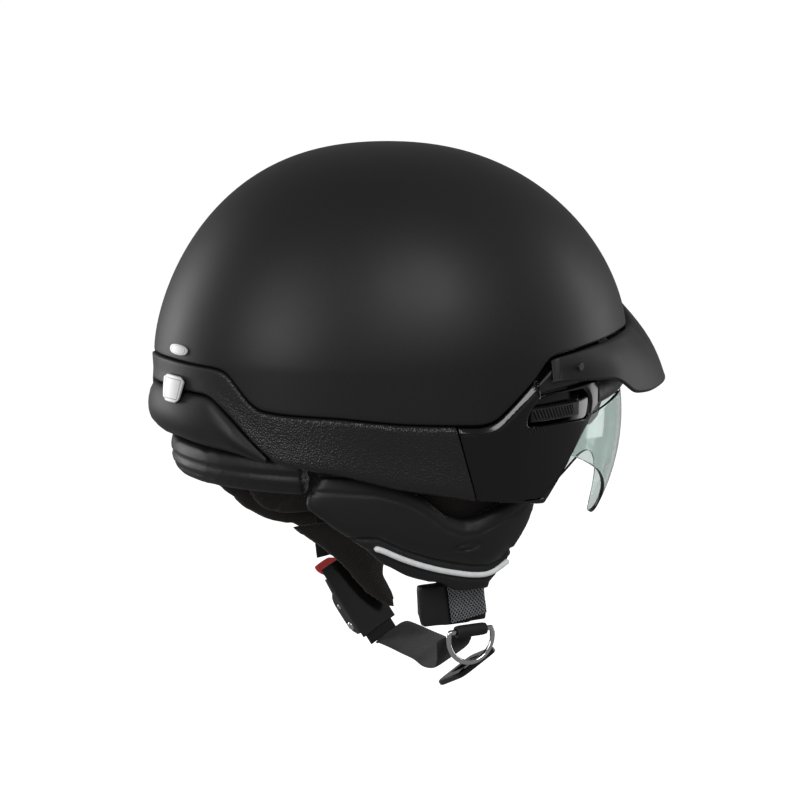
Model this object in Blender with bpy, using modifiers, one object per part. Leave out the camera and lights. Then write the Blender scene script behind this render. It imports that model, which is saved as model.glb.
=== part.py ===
"""Open face motorcycle helmet: half shell with peak, drop-down sun visor,
ear curtains and a chin strap with a ratchet buckle.

Metres, +Z up. The wearer faces -Y and the wearer's right side is -X.
The origin is the middle of the head space, level with the shell's widest line.
Angles round the helmet are in degrees from the front: 90 is the side, 180 the rear.
"""
import bpy
import bmesh
import numpy as np
from math import cos, pi, radians, sin, sqrt
from mathutils import Matrix, Vector

# ---------------------------------------------------------------- driving dimensions
SHELL_X = 0.113            # half width of the outer shell
SHELL_Y = 0.134            # half length
SHELL_Z = 0.1089           # crown height above the widest line
DOME_RISE, DOME_ROUND = 1.70, 0.437              # powers of the dome's upright profile
LEAN, LEAN_BEND = -0.0346, 0.82                  # how the dome shifts to the rear as it rises
TUCK = 1.6                 # how quickly the wall tucks in below the widest line, per metre squared
SHELL_T = 0.0030           # moulded shell thickness
TRIM_T = 0.0028            # thickness of the trims and panels under the shell
GAP = 0.0004               # gap between neighbouring mouldings
FLANGE_OFF = -0.0036       # the shell's hidden flange sits this far inside the trims

HEAD_X, HEAD_Y, HEAD_Z = 0.077, 0.097, 0.082     # half sizes of the head space
HEAD_BACK = 0.010          # the head space sits this far behind the shell's middle
PAD_T = 0.0050             # comfort lining thickness
LINING_AIR = 0.0010        # air between the lining and the foam
FOAM_LEAST = 0.0012        # thinnest foam, over the visor's pocket
FOAM_INSET = 0.0075        # the foam's outside sits this far inside the shell's outside
FOAM_CROWN_INSET = 0.0045  # and this far under the crown
VISOR_Y, VISOR_Z = -0.024, -0.043                # sun visor pivot axis, along X
VISOR_X, VISOR_REACH = 0.103, 0.1345             # half axes of the lens in plan
LENS_T = 0.0020
POCKET_AIR = 0.0040        # air between the lens and the foam, towards the pivot axis
POCKET_SIDE_AIR = 0.0014   # and towards the sides
PIVOT_R = 0.0040           # visor pivot pin radius
BUCKLE_AT = (0.0570, -0.0080, -0.1556)           # middle of the ratchet buckle's base, on the wearer's left
RING_Z = -0.1470           # height of the D-ring's bar
RING_WIRE = 0.0014         # half the D-ring's wire

# Seam under the shell: (angle from the front, height)
SEAM = [(0, 0.020), (14, 0.019), (22, 0.014), (27, 0.008), (43, 0.0082), (61, 0.0058),
        (75.6, 0.0026), (80.6, -0.0094), (85.8, -0.0193), (90.7, -0.0282), (94.2, -0.0297),
        (113, -0.0268), (127, -0.0234), (141, -0.0223), (147, -0.0209), (149.5, -0.0177),
        (153.5, -0.0090), (156.6, -0.0022), (160, -0.0009), (171, -0.0003), (180, 0.0)]
# Lowest line of the trims and the rear skirt
BOTTOM = [(60, -0.079), (76.7, -0.0755), (95.7, -0.0699), (101.6, -0.0667), (114.4, -0.0611),
          (126.5, -0.0541), (142.5, -0.0489), (160, -0.0450), (180, -0.0428)]
# Crease between the trim and the bulging rear skirt
CREASE = [(142.5, -0.0489), (145.5, -0.0448), (154.4, -0.0281), (160.7, -0.0182),
          (163, -0.0162), (180, -0.0155)]

PARTS = "open_face_helmet"


# ---------------------------------------------------------------- scene and helpers
def clear_scene():
    for obj in list(bpy.data.objects):
        bpy.data.objects.remove(obj, do_unlink=True)


def collection(name):
    group = bpy.data.collections.new(name)
    bpy.context.scene.collection.children.link(group)
    return group


def material(name, colour, roughness, metallic=0.0):
    mat = bpy.data.materials.new(name)
    mat.use_nodes = True
    shader = mat.node_tree.nodes["Principled BSDF"]
    shader.inputs["Base Color"].default_value = (*colour, 1.0)
    shader.inputs["Roughness"].default_value = roughness
    shader.inputs["Metallic"].default_value = metallic
    return mat


def line(points):
    """A function of the angle that runs straight between the listed points."""
    xs = [p[0] for p in points]
    ys = [p[1] for p in points]
    return lambda a: np.interp(abs(a), xs, ys)


seam = line(SEAM)
bottom = line(BOTTOM)
crease = line(CREASE)


def plan_scale(z, off=0.0):
    """Size of the shell's plan at a height: a rounded dome above z = 0, and below it the wall
    tucks in a little."""
    if z > 0:
        return max(0.0, 1.0 - (z / (SHELL_Z + off)) ** DOME_RISE) ** DOME_ROUND
    return 1.0 - TUCK * z * z


def lean(z):
    """How far the plan's middle lies behind the origin at a height."""
    rise = max(z, 0.0)
    return rise * (LEAN + LEAN_BEND * rise)


def skin(angle, z, off=0.0):
    """Point on the shell's outside, moved out by off."""
    a = radians(angle)
    k = plan_scale(z, off)
    return (-(SHELL_X + off) * k * sin(a), lean(z) - (SHELL_Y + off) * k * cos(a), z)


def add_object(name, mesh, mat):
    obj = bpy.data.objects.new(name, mesh)
    mesh.materials.append(mat)
    parts.objects.link(obj)
    return obj


def grid_mesh(name, rows, ring=False, pole=None):
    """Open surface through rows of points. ring joins the last column to the first,
    and pole closes the last row to one point."""
    bm = bmesh.new()
    grid = [[bm.verts.new(p) for p in row] for row in rows]
    count = len(grid[0])
    span = count if ring else count - 1
    for low, high in zip(grid, grid[1:]):
        for c in range(span):
            d = (c + 1) % count
            bm.faces.new((low[c], low[d], high[d], high[c]))
    if pole is not None:
        tip = bm.verts.new(pole)
        top = grid[-1]
        for c in range(span):
            bm.faces.new((top[c], top[(c + 1) % count], tip))
    mesh = bpy.data.meshes.new(name)
    bm.to_mesh(mesh)
    bm.free()
    return mesh


def face_outward(mesh, centre):
    """Turn an open surface so that its faces point away from centre."""
    total = sum((f.center - centre).dot(f.normal) * f.area for f in mesh.polygons)
    if total < 0:
        mesh.flip_normals()


def shell_part(name, rows, thickness, mat, ring=False, pole=None, centre=(0, 0, -0.03)):
    """A skin of even thickness: an open surface with Solidify on its inner side."""
    mesh = grid_mesh(name, rows, ring, pole)
    face_outward(mesh, Vector(centre))
    obj = add_object(name, mesh, mat)
    solid = obj.modifiers.new("thickness", "SOLIDIFY")
    solid.thickness = thickness
    solid.offset = -1.0
    solid.use_even_offset = False
    smooth(obj)
    return obj


def closed_loft(name, outer, inner, mat, ring=False, poles=None):
    """A solid between an outer and an inner grid of the same size."""
    bm = bmesh.new()
    out = [[bm.verts.new(p) for p in row] for row in outer]
    ins = [[bm.verts.new(p) for p in row] for row in inner]
    count = len(out[0])
    span = count if ring else count - 1
    for r in range(len(out) - 1):
        for c in range(span):
            d = (c + 1) % count
            bm.faces.new((out[r][c], out[r][d], out[r + 1][d], out[r + 1][c]))
            bm.faces.new((ins[r][c], ins[r + 1][c], ins[r + 1][d], ins[r][d]))
    for c in range(span):
        d = (c + 1) % count
        bm.faces.new((out[0][c], ins[0][c], ins[0][d], out[0][d]))
        if poles is None:
            bm.faces.new((out[-1][c], out[-1][d], ins[-1][d], ins[-1][c]))
    if poles is not None:
        tips = [bm.verts.new(p) for p in poles]
        for c in range(span):
            d = (c + 1) % count
            bm.faces.new((out[-1][c], out[-1][d], tips[0]))
            bm.faces.new((ins[-1][d], ins[-1][c], tips[1]))
    if not ring:
        for r in range(len(out) - 1):
            bm.faces.new((out[r][0], out[r + 1][0], ins[r + 1][0], ins[r][0]))
            bm.faces.new((out[r][-1], ins[r][-1], ins[r + 1][-1], out[r + 1][-1]))
    bmesh.ops.recalc_face_normals(bm, faces=bm.faces)
    mesh = bpy.data.meshes.new(name)
    bm.to_mesh(mesh)
    bm.free()
    obj = add_object(name, mesh, mat)
    smooth(obj)
    return obj


def smooth(obj):
    obj.data.shade_smooth()
    obj.data.set_sharp_from_angle(angle=radians(35))


def bevel(obj, width, segments=2):
    mod = obj.modifiers.new("rounded edges", "BEVEL")
    mod.width = width
    mod.segments = segments
    mod.limit_method = "ANGLE"
    mod.angle_limit = radians(40)
    return mod


def adopt(obj, name, mat):
    """Name a primitive, give it its material and move it to the parts collection."""
    obj.name = name
    obj.data.name = name
    obj.data.materials.clear()
    obj.data.materials.append(mat)
    for group in list(obj.users_collection):
        group.objects.unlink(obj)
    parts.objects.link(obj)
    return obj


def box(name, low, high, mat, rounding=0.0):
    size = [h - g for g, h in zip(low, high)]
    middle = [(g + h) / 2 for g, h in zip(low, high)]
    bpy.ops.mesh.primitive_cube_add(size=1.0, location=middle)
    obj = adopt(bpy.context.object, name, mat)
    obj.scale = size
    bpy.context.view_layer.objects.active = obj
    bpy.ops.object.transform_apply(location=False, rotation=False, scale=True)
    if rounding:
        bevel(obj, rounding)
    smooth(obj)
    return obj


def cylinder(name, centre, axis, radius, length, mat, sides=24, rounding=0.0):
    turn = {"X": (0, pi / 2, 0), "Y": (pi / 2, 0, 0), "Z": (0, 0, 0)}[axis]
    bpy.ops.mesh.primitive_cylinder_add(vertices=sides, radius=radius, depth=length,
                                        location=centre, rotation=turn)
    obj = adopt(bpy.context.object, name, mat)
    if rounding:
        bevel(obj, rounding)
    smooth(obj)
    return obj


def cut(target, cutter):
    """Take the cutter out of the target and leave the cutter as a hidden guide."""
    for group in list(cutter.users_collection):
        group.objects.unlink(cutter)
    cutters.objects.link(cutter)
    cutter.hide_render = True
    cutter.display_type = "WIRE"
    mod = target.modifiers.new("cut by " + cutter.name, "BOOLEAN")
    mod.operation = "DIFFERENCE"
    mod.solver = "EXACT"
    mod.object = cutter


def angles(points, start, stop, step):
    """Columns from start to stop: even steps plus each corner of the outline."""
    marks = {round(start, 3), round(stop, 3)}
    marks |= {round(a, 3) for a in np.arange(start, stop, step)}
    corners = {round(s * p[0], 3) for p in points for s in (-1, 1)}
    corners |= {round(360 - p[0], 3) for p in points}
    marks |= {a for a in corners if start <= a <= stop}
    kept = []
    for a in sorted(marks):
        if not kept or a - kept[-1] > 1.3 or a in corners:
            kept.append(a)
    return kept


def fold(angle):
    """Angle from the front, 0 to 180, for an angle that runs on past 180."""
    a = abs(angle) % 360
    return 360 - a if a > 180 else a


def ribbon(name, path, width, thickness, across, mat):
    """A flat strap: sections along a path, with its width along the across vector."""
    side = Vector(across).normalized()
    points = [Vector(p) for p in path]
    rows_out = []
    rows_in = []
    for i, p in enumerate(points):
        ahead = points[min(i + 1, len(points) - 1)] - points[max(i - 1, 0)]
        normal = ahead.normalized().cross(side).normalized()
        half = width / 2
        lift = normal * (thickness / 2)
        rows_out.append([p - side * half + lift, p + lift, p + side * half + lift])
        rows_in.append([p - side * half - lift, p - lift, p + side * half - lift])
    return closed_loft(name, rows_out, rows_in, mat)


# ---------------------------------------------------------------- outer mouldings
def outer_shell():
    """The moulded dome, with a short hidden flange behind the trims."""
    cols = angles(SEAM, -179.9, 180, 7.5)

    def flange_depth(a):
        return float(np.interp(abs(a), [0, 98, 104, 180], [0.0014, 0.0014, 0.010, 0.010]))

    rows = [[skin(a, seam(a) - flange_depth(a), FLANGE_OFF) for a in cols],
            [skin(a, seam(a) - 0.0012, FLANGE_OFF) for a in cols],
            [skin(a, seam(a) + 0.0002, 0.0) for a in cols]]
    for share in (0.16, 0.34, 0.52, 0.68, 0.82, 0.92, 0.98):
        rows.append([skin(a, seam(a) + (SHELL_Z - seam(a)) * share) for a in cols])
    return shell_part("outer_shell", rows, SHELL_T - 0.0002, BLACK_MATT, ring=True,
                      pole=(0, lean(SHELL_Z), SHELL_Z))


def horseshoe_trim():
    """Grained trim round the rear, from one side panel to the other."""
    cols = angles(SEAM + BOTTOM + CREASE, 101.2, 258.8, 6.0)

    def point(a, share, off):
        """The ends of the trim slant like the rear edges of the side panels."""
        slant = -5.2 * (1 - share) * min(1.0, max(0.0, (114.0 - fold(a)) / 12.8))
        b = fold(a) + slant
        low = bottom(b) if b <= 142.5 else crease(b) + GAP
        z = low + (seam(b) - GAP - low) * share
        return skin(a + slant * (1 if a < 180 else -1), z, off)

    rows = [[point(a, 0.0, -0.0012) for a in cols], [point(a, 0.07, 0.0008) for a in cols],
            [point(a, 0.5, 0.0008) for a in cols], [point(a, 0.93, 0.0008) for a in cols],
            [point(a, 1.0, -0.0006) for a in cols]]
    return shell_part("horseshoe_trim", rows, TRIM_T, BLACK_GRAIN)


def rear_skirt():
    """The bulging lower rear of the helmet, under the trim's crease."""
    cols = angles(BOTTOM + CREASE, 147.0, 213.0, 5.0)
    steps = [(0.0, 0.0012), (0.12, 0.0030), (0.35, 0.0042), (0.6, 0.0032), (0.85, 0.0),
             (1.0, -0.0050)]

    def point(a, share, off):
        b = fold(a)
        top = crease(b) - GAP
        return skin(a, top + (bottom(b) - top) * share, off - 0.0006)

    rows = [[point(a, share, off) for a in cols] for share, off in steps]
    return shell_part("rear_skirt", rows, TRIM_T, BLACK_MATT)


PANEL_LOW = line([(57.0, -0.0281), (62.3, -0.0356), (69.3, -0.0580), (76.7, -0.0754),
                  (95.2, -0.0698), (100.4, -0.0297)])


def panel_high(a):
    """Top edge of the side panel: under the brow frame in front, along the seam behind it."""
    return brow_low(max(a, 56.6)) - 0.0006 if a < 79.2 else float(seam(a)) - 2.5 * GAP


def side_panel(side, name):
    """Gloss panel over the visor pivot. The lever runs in its window."""
    cols = [57.0, 59.5, 62.3, 65.8, 69.3, 73.0, 76.7, 79.0, 79.6, 80.6, 83.0, 85.8, 88.0, 90.7, 94.2,
            95.2, 97.5, 100.0]
    outer = []
    inner = []
    for share, off in ((0.0, -0.0010), (0.07, 0.0009), (0.35, 0.0009), (0.65, 0.0009), (0.95, 0.0009),
                       (1.0, -0.0004)):
        heights = [PANEL_LOW(a) + (panel_high(a) - PANEL_LOW(a)) * share for a in cols]
        outer.append([skin(-side * a, z, off) for a, z in zip(cols, heights)])
        inner.append([skin(-side * a, z, 0.0009 - TRIM_T) for a, z in zip(cols, heights)])
    panel = closed_loft(name, outer, inner, BLACK_GLOSS)
    outline = [(-0.0650, -0.0334), (-0.0110, -0.0334), (-0.0100, -0.0300), (-0.0225, -0.0175),
               (-0.0650, -0.0175)]
    window = prism(name + "_window", outline, min(side * 0.085, side * 0.125), 0.040, BLACK_GLOSS)
    cut(panel, window)
    return panel


def prism(name, outline, x, depth, mat):
    """A flat outline in Y and Z, made depth thick from x."""
    bm = bmesh.new()
    face = bm.faces.new([bm.verts.new((x, y, z)) for y, z in outline])
    grown = bmesh.ops.extrude_face_region(bm, geom=[face])
    moved = [v for v in grown["geom"] if isinstance(v, bmesh.types.BMVert)]
    bmesh.ops.translate(bm, verts=moved, vec=(depth, 0, 0))
    bmesh.ops.recalc_face_normals(bm, faces=bm.faces)
    mesh = bpy.data.meshes.new(name)
    bm.to_mesh(mesh)
    bm.free()
    return add_object(name, mesh, mat)


def brow_low(a):
    """Lower edge of the brow frame: it comes down beside the lens in front of each panel."""
    return float(np.interp(abs(a), [0, 20, 32, 49, 56.2, 56.6, 62, 79],
                           [-0.006, -0.010, -0.024, -0.0268, -0.0280, -0.0120, -0.014, -0.0165]))


def slider_track(side, name):
    """Guide plate behind the panel's front corner. The lever runs along its face."""
    cols = np.linspace(58.5, 90.0, 9)
    rows = [[skin(-side * a, z, -0.0072) for a in cols] for z in (-0.0332, -0.0240, -0.0145)]
    return shell_part(name, rows, 0.0009, BLACK_SATIN)


def brow_frame():
    """Curved frame under the shell's front edge: it joins both side panels over the lens."""
    corners = [(a, 0.0) for a in (20.0, 32.0, 49.0, 56.2, 56.6)]
    cols = angles(corners, -79.0, 79.0, 5.0)

    def top(a):
        return float(np.interp(abs(a), [0, 14, 22, 27, 62, 74, 79],
                               [0.0145, 0.0140, 0.0090, 0.0025, 0.0005, -0.003, -0.0115]))

    rows = [[skin(a, brow_low(a) + (top(a) - brow_low(a)) * s, -0.0004) for a in cols] for s in (0, 0.5, 1)]
    return shell_part("brow_frame", rows, 0.0022, BLACK_SATIN)


# Peak's lip on the wearer's right, from the rear corner to the middle: (x, y, z) and the angle
# on the seam that each point joins
PEAK_LIP = [(-0.1115, -0.0310, -0.0103, 75.2), (-0.1087, -0.0600, -0.0118, 63.0),
            (-0.1036, -0.0790, -0.0129, 54.0), (-0.1010, -0.0860, -0.0167, 50.5),
            (-0.0972, -0.0945, -0.0233, 46.0), (-0.0870, -0.1120, -0.0250, 37.5),
            (-0.0754, -0.1265, -0.0246, 30.0), (-0.0620, -0.1388, -0.0248, 23.0),
            (-0.0480, -0.1480, -0.0250, 17.5), (-0.0240, -0.1575, -0.0250, 8.5),
            (0.0, -0.1606, -0.0250, 0.0)]
PEAK_HUMP = 0.0028         # how far the peak bows out between the seam and its lip


def peak():
    """Short peak: it wraps the brow and turns down in front."""
    def half(share):
        row = []
        for x, y, z, a in PEAK_LIP:
            top = np.array(skin(a, seam(a) - 0.0006, 0.0020))
            hump = PEAK_HUMP * sin(pi * share) * np.interp(a, [0, 40, 76], [1.3, 1.0, 0.0])
            out = np.array([-sin(radians(a)), -cos(radians(a)), 0.35])
            row.append(tuple(top + (np.array((x, y, z)) - top) * share + out * hump))
        return row

    rows = []
    for share in (1.0, 0.86, 0.66, 0.44, 0.22, 0.0):
        right = half(share)
        left = [(-x, y, z) for x, y, z in reversed(right[:-1])]
        rows.append(right + left)
    return shell_part("peak", rows, 0.0012, BLACK_MATT, centre=(0, -0.05, -0.03))


def skin_disc(name, angle, z, off, radius, depth, mat, sides=16):
    """A round head that lies on the skin, facing out."""
    here = Vector(skin(angle, z, off))
    out = (Vector(skin(angle, z, off + 0.01)) - here).normalized()
    bpy.ops.mesh.primitive_cylinder_add(vertices=sides, radius=radius, depth=depth)
    obj = adopt(bpy.context.object, name, mat)
    obj.rotation_euler = out.to_track_quat("Z", "Y").to_euler()
    obj.location = here + out * (depth / 2)
    smooth(obj)
    return obj


def skin_plate(name, middle_angle, edges, thickness, mat):
    """A thin plate bent to the shell, such as a badge. Each edge is (height, offset from the
    skin, half width in degrees), from the lowest."""
    rows = [[skin(middle_angle + half * s, z, off) for s in np.linspace(-1, 1, 5)]
            for z, off, half in edges]
    return shell_part(name, rows, thickness, mat)


# ---------------------------------------------------------------- sun visor
def lens_radius(x):
    """Lens radius about the pivot axis at a distance x from the helmet's middle."""
    return VISOR_REACH * sqrt(1.0 - (x / VISOR_X) ** 2) + VISOR_Y


LENS_LOW = [(0, -15.5), (0.009, -17.5), (0.016, -24.0), (0.022, -31.0), (0.028, -34.5), (0.036, -34.8),
            (0.045, -33.5), (0.055, -29.0), (0.075, -22.0), (0.092, -19.0), (0.1010, -17.0)]
LENS_HIGH = 9.0


def lens_points(x, share, extra=0.0):
    low = float(np.interp(abs(x), [p[0] for p in LENS_LOW], [p[1] for p in LENS_LOW]))
    t = radians(low + (LENS_HIGH - low) * share)
    r = lens_radius(x) + extra
    return (x, VISOR_Y - r * cos(t), VISOR_Z + r * sin(t))


def sun_visor():
    """Smoke lens: a bowl turned about the pivot axis and trimmed, so it sweeps in its own skin."""
    half = [0, 0.009, 0.016, 0.022, 0.028, 0.036, 0.045, 0.055, 0.066, 0.077, 0.086, 0.093, 0.0975, 0.0998]
    xs = [-x for x in reversed(half[1:])] + half
    rows = [[lens_points(x, s) for x in xs] for s in (0, 0.2, 0.4, 0.6, 0.8, 1.0)]
    lens = shell_part("sun_visor", rows, LENS_T, SMOKE, centre=(0, VISOR_Y, VISOR_Z))
    move_origin(lens, (0, VISOR_Y, VISOR_Z))
    return lens


def move_origin(obj, point):
    """Put an object's origin on its joint axis and leave its mesh where it is."""
    shift = Vector(point)
    obj.data.transform(Matrix.Translation(-shift))
    obj.location = shift


def visor_hub(side, name):
    """Ring bonded to the lens's arm. It turns on the pivot pin."""
    x = side * 0.1011
    hub = cylinder(name, (x, VISOR_Y, VISOR_Z), "X", 0.0088, 0.0018, BLACK_SATIN, sides=28)
    hole = cylinder(name + "_bore", (x, VISOR_Y, VISOR_Z), "X", PIVOT_R + 0.0006, 0.01, BLACK_SATIN)
    cut(hub, hole)
    return hub


def pivot_bracket(side, name):
    """Plate on the inside of the side panel that carries the visor's pivot pin."""
    x = side * 0.1053
    plate = box(name, (x - 0.0006, VISOR_Y - 0.0090, VISOR_Z - 0.0170),
                (x + 0.0006, VISOR_Y + 0.0200, VISOR_Z + 0.0075), STEEL)
    pin = cylinder(name + "_pin", (side * 0.10275, VISOR_Y, VISOR_Z), "X", PIVOT_R, 0.0049, STEEL)
    return join(plate, pin)


def pivot_screw(side, name):
    """Screw head that keeps the lens's hub on the pivot pin."""
    return cylinder(name, (side * 0.0993, VISOR_Y, VISOR_Z), "X", 0.0062, 0.0012, STEEL, sides=20)


def join(target, piece):
    """Make one solid of two that overlap."""
    mod = target.modifiers.new("with " + piece.name, "BOOLEAN")
    mod.operation = "UNION"
    mod.solver = "EXACT"
    mod.object = piece
    for group in list(piece.users_collection):
        group.objects.unlink(piece)
    cutters.objects.link(piece)
    piece.hide_render = True
    piece.display_type = "WIRE"
    return target


def visor_lever(side, name):
    """Thumb slider with raised ribs in the panel's window. Pushed back, it lifts the visor."""
    cols = np.linspace(63.6, 80.2, 7)
    heights = [(-0.0322, -0.0050), (-0.0318, -0.0022), (-0.0245, -0.0022), (-0.0240, -0.0050)]
    outer = [[skin(-side * a, z, off) for a in cols] for z, off in heights]
    inner = [[skin(-side * a, z, -0.0060) for a in cols] for z, off in heights]
    return closed_loft(name, outer, inner, BLACK_SATIN)


# ---------------------------------------------------------------- liner
def head(angle, t, grow):
    """Point on the head space grown by grow, at elevation t in degrees."""
    a = radians(angle)
    e = radians(t)
    return np.array([-(HEAD_X + grow) * cos(e) * sin(a),
                     HEAD_BACK - (HEAD_Y + grow) * cos(e) * cos(a), (HEAD_Z + grow) * sin(e)])


def clear_of_pocket(p):
    """True where a point is inside the lens's sweep, with some air."""
    x, y, z = p
    wide = abs(x) + POCKET_SIDE_AIR
    if wide > 0.0985:
        return False
    r = sqrt((y - VISOR_Y) ** 2 + (z - VISOR_Z) ** 2)
    return r < lens_radius(wide) - LENS_T - POCKET_AIR


def foam_outside(angle, t):
    """Outside of the foam: the shell's inside, set back in front for the visor's pocket."""
    near = head(angle, t, PAD_T + LINING_AIR + FOAM_LEAST)
    direction = near / np.linalg.norm(near)
    reach = np.linalg.norm(near)
    best = reach
    while best < 0.16:
        p = direction * (best + 0.0005)
        reach_x = p[0] / (SHELL_X - FOAM_INSET)
        reach_y = (p[1] - lean(p[2])) / (SHELL_Y - FOAM_INSET)
        if sqrt(reach_x ** 2 + reach_y ** 2) > plan_scale(p[2], -FOAM_CROWN_INSET):
            break
        pocket = fold(angle) < 93 and t < 30
        if pocket and not clear_of_pocket(p):
            break
        best += 0.0005
    return tuple(direction * best)


def wall(angle, z, grow):
    """Point on the head space's upright wall below z = 0."""
    a = radians(angle)
    return (-(HEAD_X + grow) * sin(a), HEAD_BACK - (HEAD_Y + grow) * cos(a), z)


def liner_low(a):
    """Height of the foam's lower edge."""
    return float(np.interp(fold(a), [0, 50, 72, 110, 140, 180],
                           [-0.012, -0.016, -0.034, -0.034, -0.038, -0.038]))


def foam_wall(angle, z):
    """Outside of the foam below the widest line."""
    side = fold(angle)
    x, y, _ = skin(angle, z, -FOAM_INSET)
    if side < 93:
        direction = np.array([x, y - HEAD_BACK])
        start = np.array(wall(angle, z, PAD_T + LINING_AIR + FOAM_LEAST)[:2])
        end = np.array([x, y])
        best = start
        for share in np.linspace(0, 1, 60):
            p = start + (end - start) * share
            if not clear_of_pocket((p[0], p[1], z)):
                break
            best = p
        return (best[0], best[1], z)
    return (x, y, z)


def impact_liner():
    """Expanded foam that takes the blow, with room in front for the lifted visor."""
    cols = list(np.arange(-175, 181, 10.0))
    outer = []
    inner = []
    for share in (1.0, 0.66, 0.33):
        outer.append([foam_wall(a, liner_low(a) * share) for a in cols])
        inner.append([wall(a, liner_low(a) * share, PAD_T + LINING_AIR) for a in cols])
    for t in (0, 9, 18, 27, 36, 40, 45, 55, 65, 75, 84):
        outer.append([foam_outside(a, t) for a in cols])
        inner.append([tuple(head(a, t, PAD_T + LINING_AIR)) for a in cols])
    poles = (foam_outside(0, 90), tuple(head(0, 90, PAD_T + LINING_AIR)))
    return closed_loft("impact_liner", outer, inner, FOAM, ring=True, poles=poles)


def crown_pad():
    """Soft lining over the crown."""
    cols = list(np.arange(-165, 181, 15.0))
    ts = (31, 42, 53, 64, 75, 84)
    outer = [[tuple(head(a, t, PAD_T)) for a in cols] for t in ts]
    inner = [[tuple(head(a, t, 0.0)) for a in cols] for t in ts]
    poles = (tuple(head(0, 90, PAD_T)), tuple(head(0, 90, 0.0)))
    return closed_loft("crown_pad", outer, inner, LINING, ring=True, poles=poles)


def head_band():
    """Ring of lining round the brow and the back of the head."""
    cols = list(np.arange(-165, 181, 15.0))
    outer = []
    inner = []
    for share in (1.0, 0.5):
        outer.append([wall(a, -0.019 * share, PAD_T) for a in cols])
        inner.append([wall(a, -0.019 * share, 0.0) for a in cols])
    for t in (0, 10, 20, 29):
        outer.append([tuple(head(a, t, PAD_T)) for a in cols])
        inner.append([tuple(head(a, t, 0.0)) for a in cols])
    return closed_loft("head_band", outer, inner, LINING, ring=True)


# Ear curtain: rear and front edges and the distance from the helmet's middle, by height
def curtain_rear(z):
    return float(np.interp(z, [-0.118, -0.112, -0.1035, -0.093, -0.082, -0.072, -0.0655, -0.058],
                           [0.016, 0.034, 0.050, 0.063, 0.078, 0.088, 0.0805, 0.0805]))


def curtain_front(z):
    return float(np.interp(z, [-0.118, -0.112, -0.098, -0.081, -0.070],
                           [-0.008, -0.014, -0.021, -0.031, -0.034]))


def curtain_x(y, z):
    share = min(1.0, max(0.0, (z + 0.118) / 0.050))
    rear = sqrt(max(0.05, 1.0 - (max(y, 0.0) / 0.132) ** 2))
    front = 1.0 - 0.7 * (min(y, 0.0) / 0.135) ** 2
    return (0.0905 + 0.0095 * share) * rear * front


def ear_curtain(side, name):
    """Padded leather-look curtain that hangs from the helmet over the ear. Its thin upper hem
    runs up behind the trims."""
    outer = []
    inner = []
    for z, plump in ((-0.118, 0.4), (-0.111, 1.0), (-0.101, 1.0), (-0.090, 1.0), (-0.079, 1.0),
                     (-0.0720, 0.9), (-0.0640, 0.0), (-0.0618, 0.0)):
        ys = np.linspace(curtain_front(z), curtain_rear(z), 9)
        edge = np.sin(np.linspace(0, pi, 9)) ** 0.5
        fat = (0.0035 if plump else 0.0022) + 0.0055 * edge * plump
        outer.append([(side * curtain_x(y, z), y, z) for y in ys])
        inner.append([(side * (curtain_x(y, z) - f), y, z) for y, f in zip(ys, fat)])
    return closed_loft(name, outer, inner, LEATHER)


def ear_pad(side, name):
    """Soft lining pad between the foam's lower edge and the ear curtain."""
    outer = []
    inner = []
    for z, thin in ((-0.1110, 0.0020), (-0.1020, 0.0), (-0.0880, 0.0), (-0.0740, 0.0020)):
        ys = np.linspace(-0.004, 0.046, 7)
        bulge = 0.0025 * np.sin(np.linspace(0, pi, 7))
        outer.append([(side * (curtain_x(y, z) - 0.0120 - thin), y, z) for y in ys])
        inner.append([(side * (curtain_x(y, z) - 0.0165 - f + thin), y, z) for y, f in zip(ys, bulge)])
    return closed_loft(name, outer, inner, LINING)


def neck_roll():
    """Padded roll that closes the rear of the helmet under the skirt."""
    cols = np.linspace(137, 223, 15)
    steps = [(-0.0640, -0.0150), (-0.0600, -0.0100), (-0.0520, -0.0085), (-0.0445, -0.0110)]
    outer = [[skin(a, z + 0.0010 * cos(radians(a)), off) for a in cols] for z, off in steps]
    inner = [[skin(a, z + 0.0010 * cos(radians(a)), -0.0230 + 0.0010 * (i in (0, 3))) for a in cols]
             for i, (z, off) in enumerate(steps)]
    return closed_loft("neck_roll", outer, inner, LEATHER)


def piping(side, name):
    """Reflective piping along the curtain's lower seam."""
    route = [(0.0570, -0.0940), (0.0455, -0.1005), (0.0360, -0.1040), (0.0250, -0.1078), (0.0150, -0.1105),
             (0.0040, -0.1130), (-0.0060, -0.1145), (-0.0135, -0.1135), (-0.0190, -0.1090)]
    path = [(side * (curtain_x(y, z) + 0.0017), y, z) for y, z in route]
    return tube(name, path, 0.0012, WHITE_PIPING)


def tube(name, path, radius, mat):
    data = bpy.data.curves.new(name, "CURVE")
    data.dimensions = "3D"
    data.bevel_depth = radius
    data.bevel_resolution = 2
    data.use_fill_caps = True
    spline = data.splines.new("POLY")
    spline.points.add(len(path) - 1)
    for point, p in zip(spline.points, path):
        point.co = (*p, 1.0)
    data.materials.append(mat)
    obj = bpy.data.objects.new(name, data)
    parts.objects.link(obj)
    return obj


# ---------------------------------------------------------------- straps and buckle
def strap_anchor(side, name):
    """Steel plate that holds the strap to the shell's inside."""
    low, high = sorted((side * 0.0990, side * 0.0974))
    return box(name, (low, 0.0090, -0.0600), (high, 0.0290, -0.0400), STEEL)


def hanging_strap(side, name):
    """Webbing from the anchor plate down inside the ear curtain."""
    path = [(side * 0.0962, 0.0200, -0.0440), (side * 0.0955, 0.0180, -0.0600),
            (side * 0.0790, 0.0130, -0.0680), (side * 0.0690, 0.0090, -0.0860),
            (side * 0.0665, 0.0050, -0.1060), (side * 0.0670, 0.0010, -0.1195)]
    return ribbon(name, path, 0.0200, 0.0016, (0, 1, 0), WEBBING)


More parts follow.
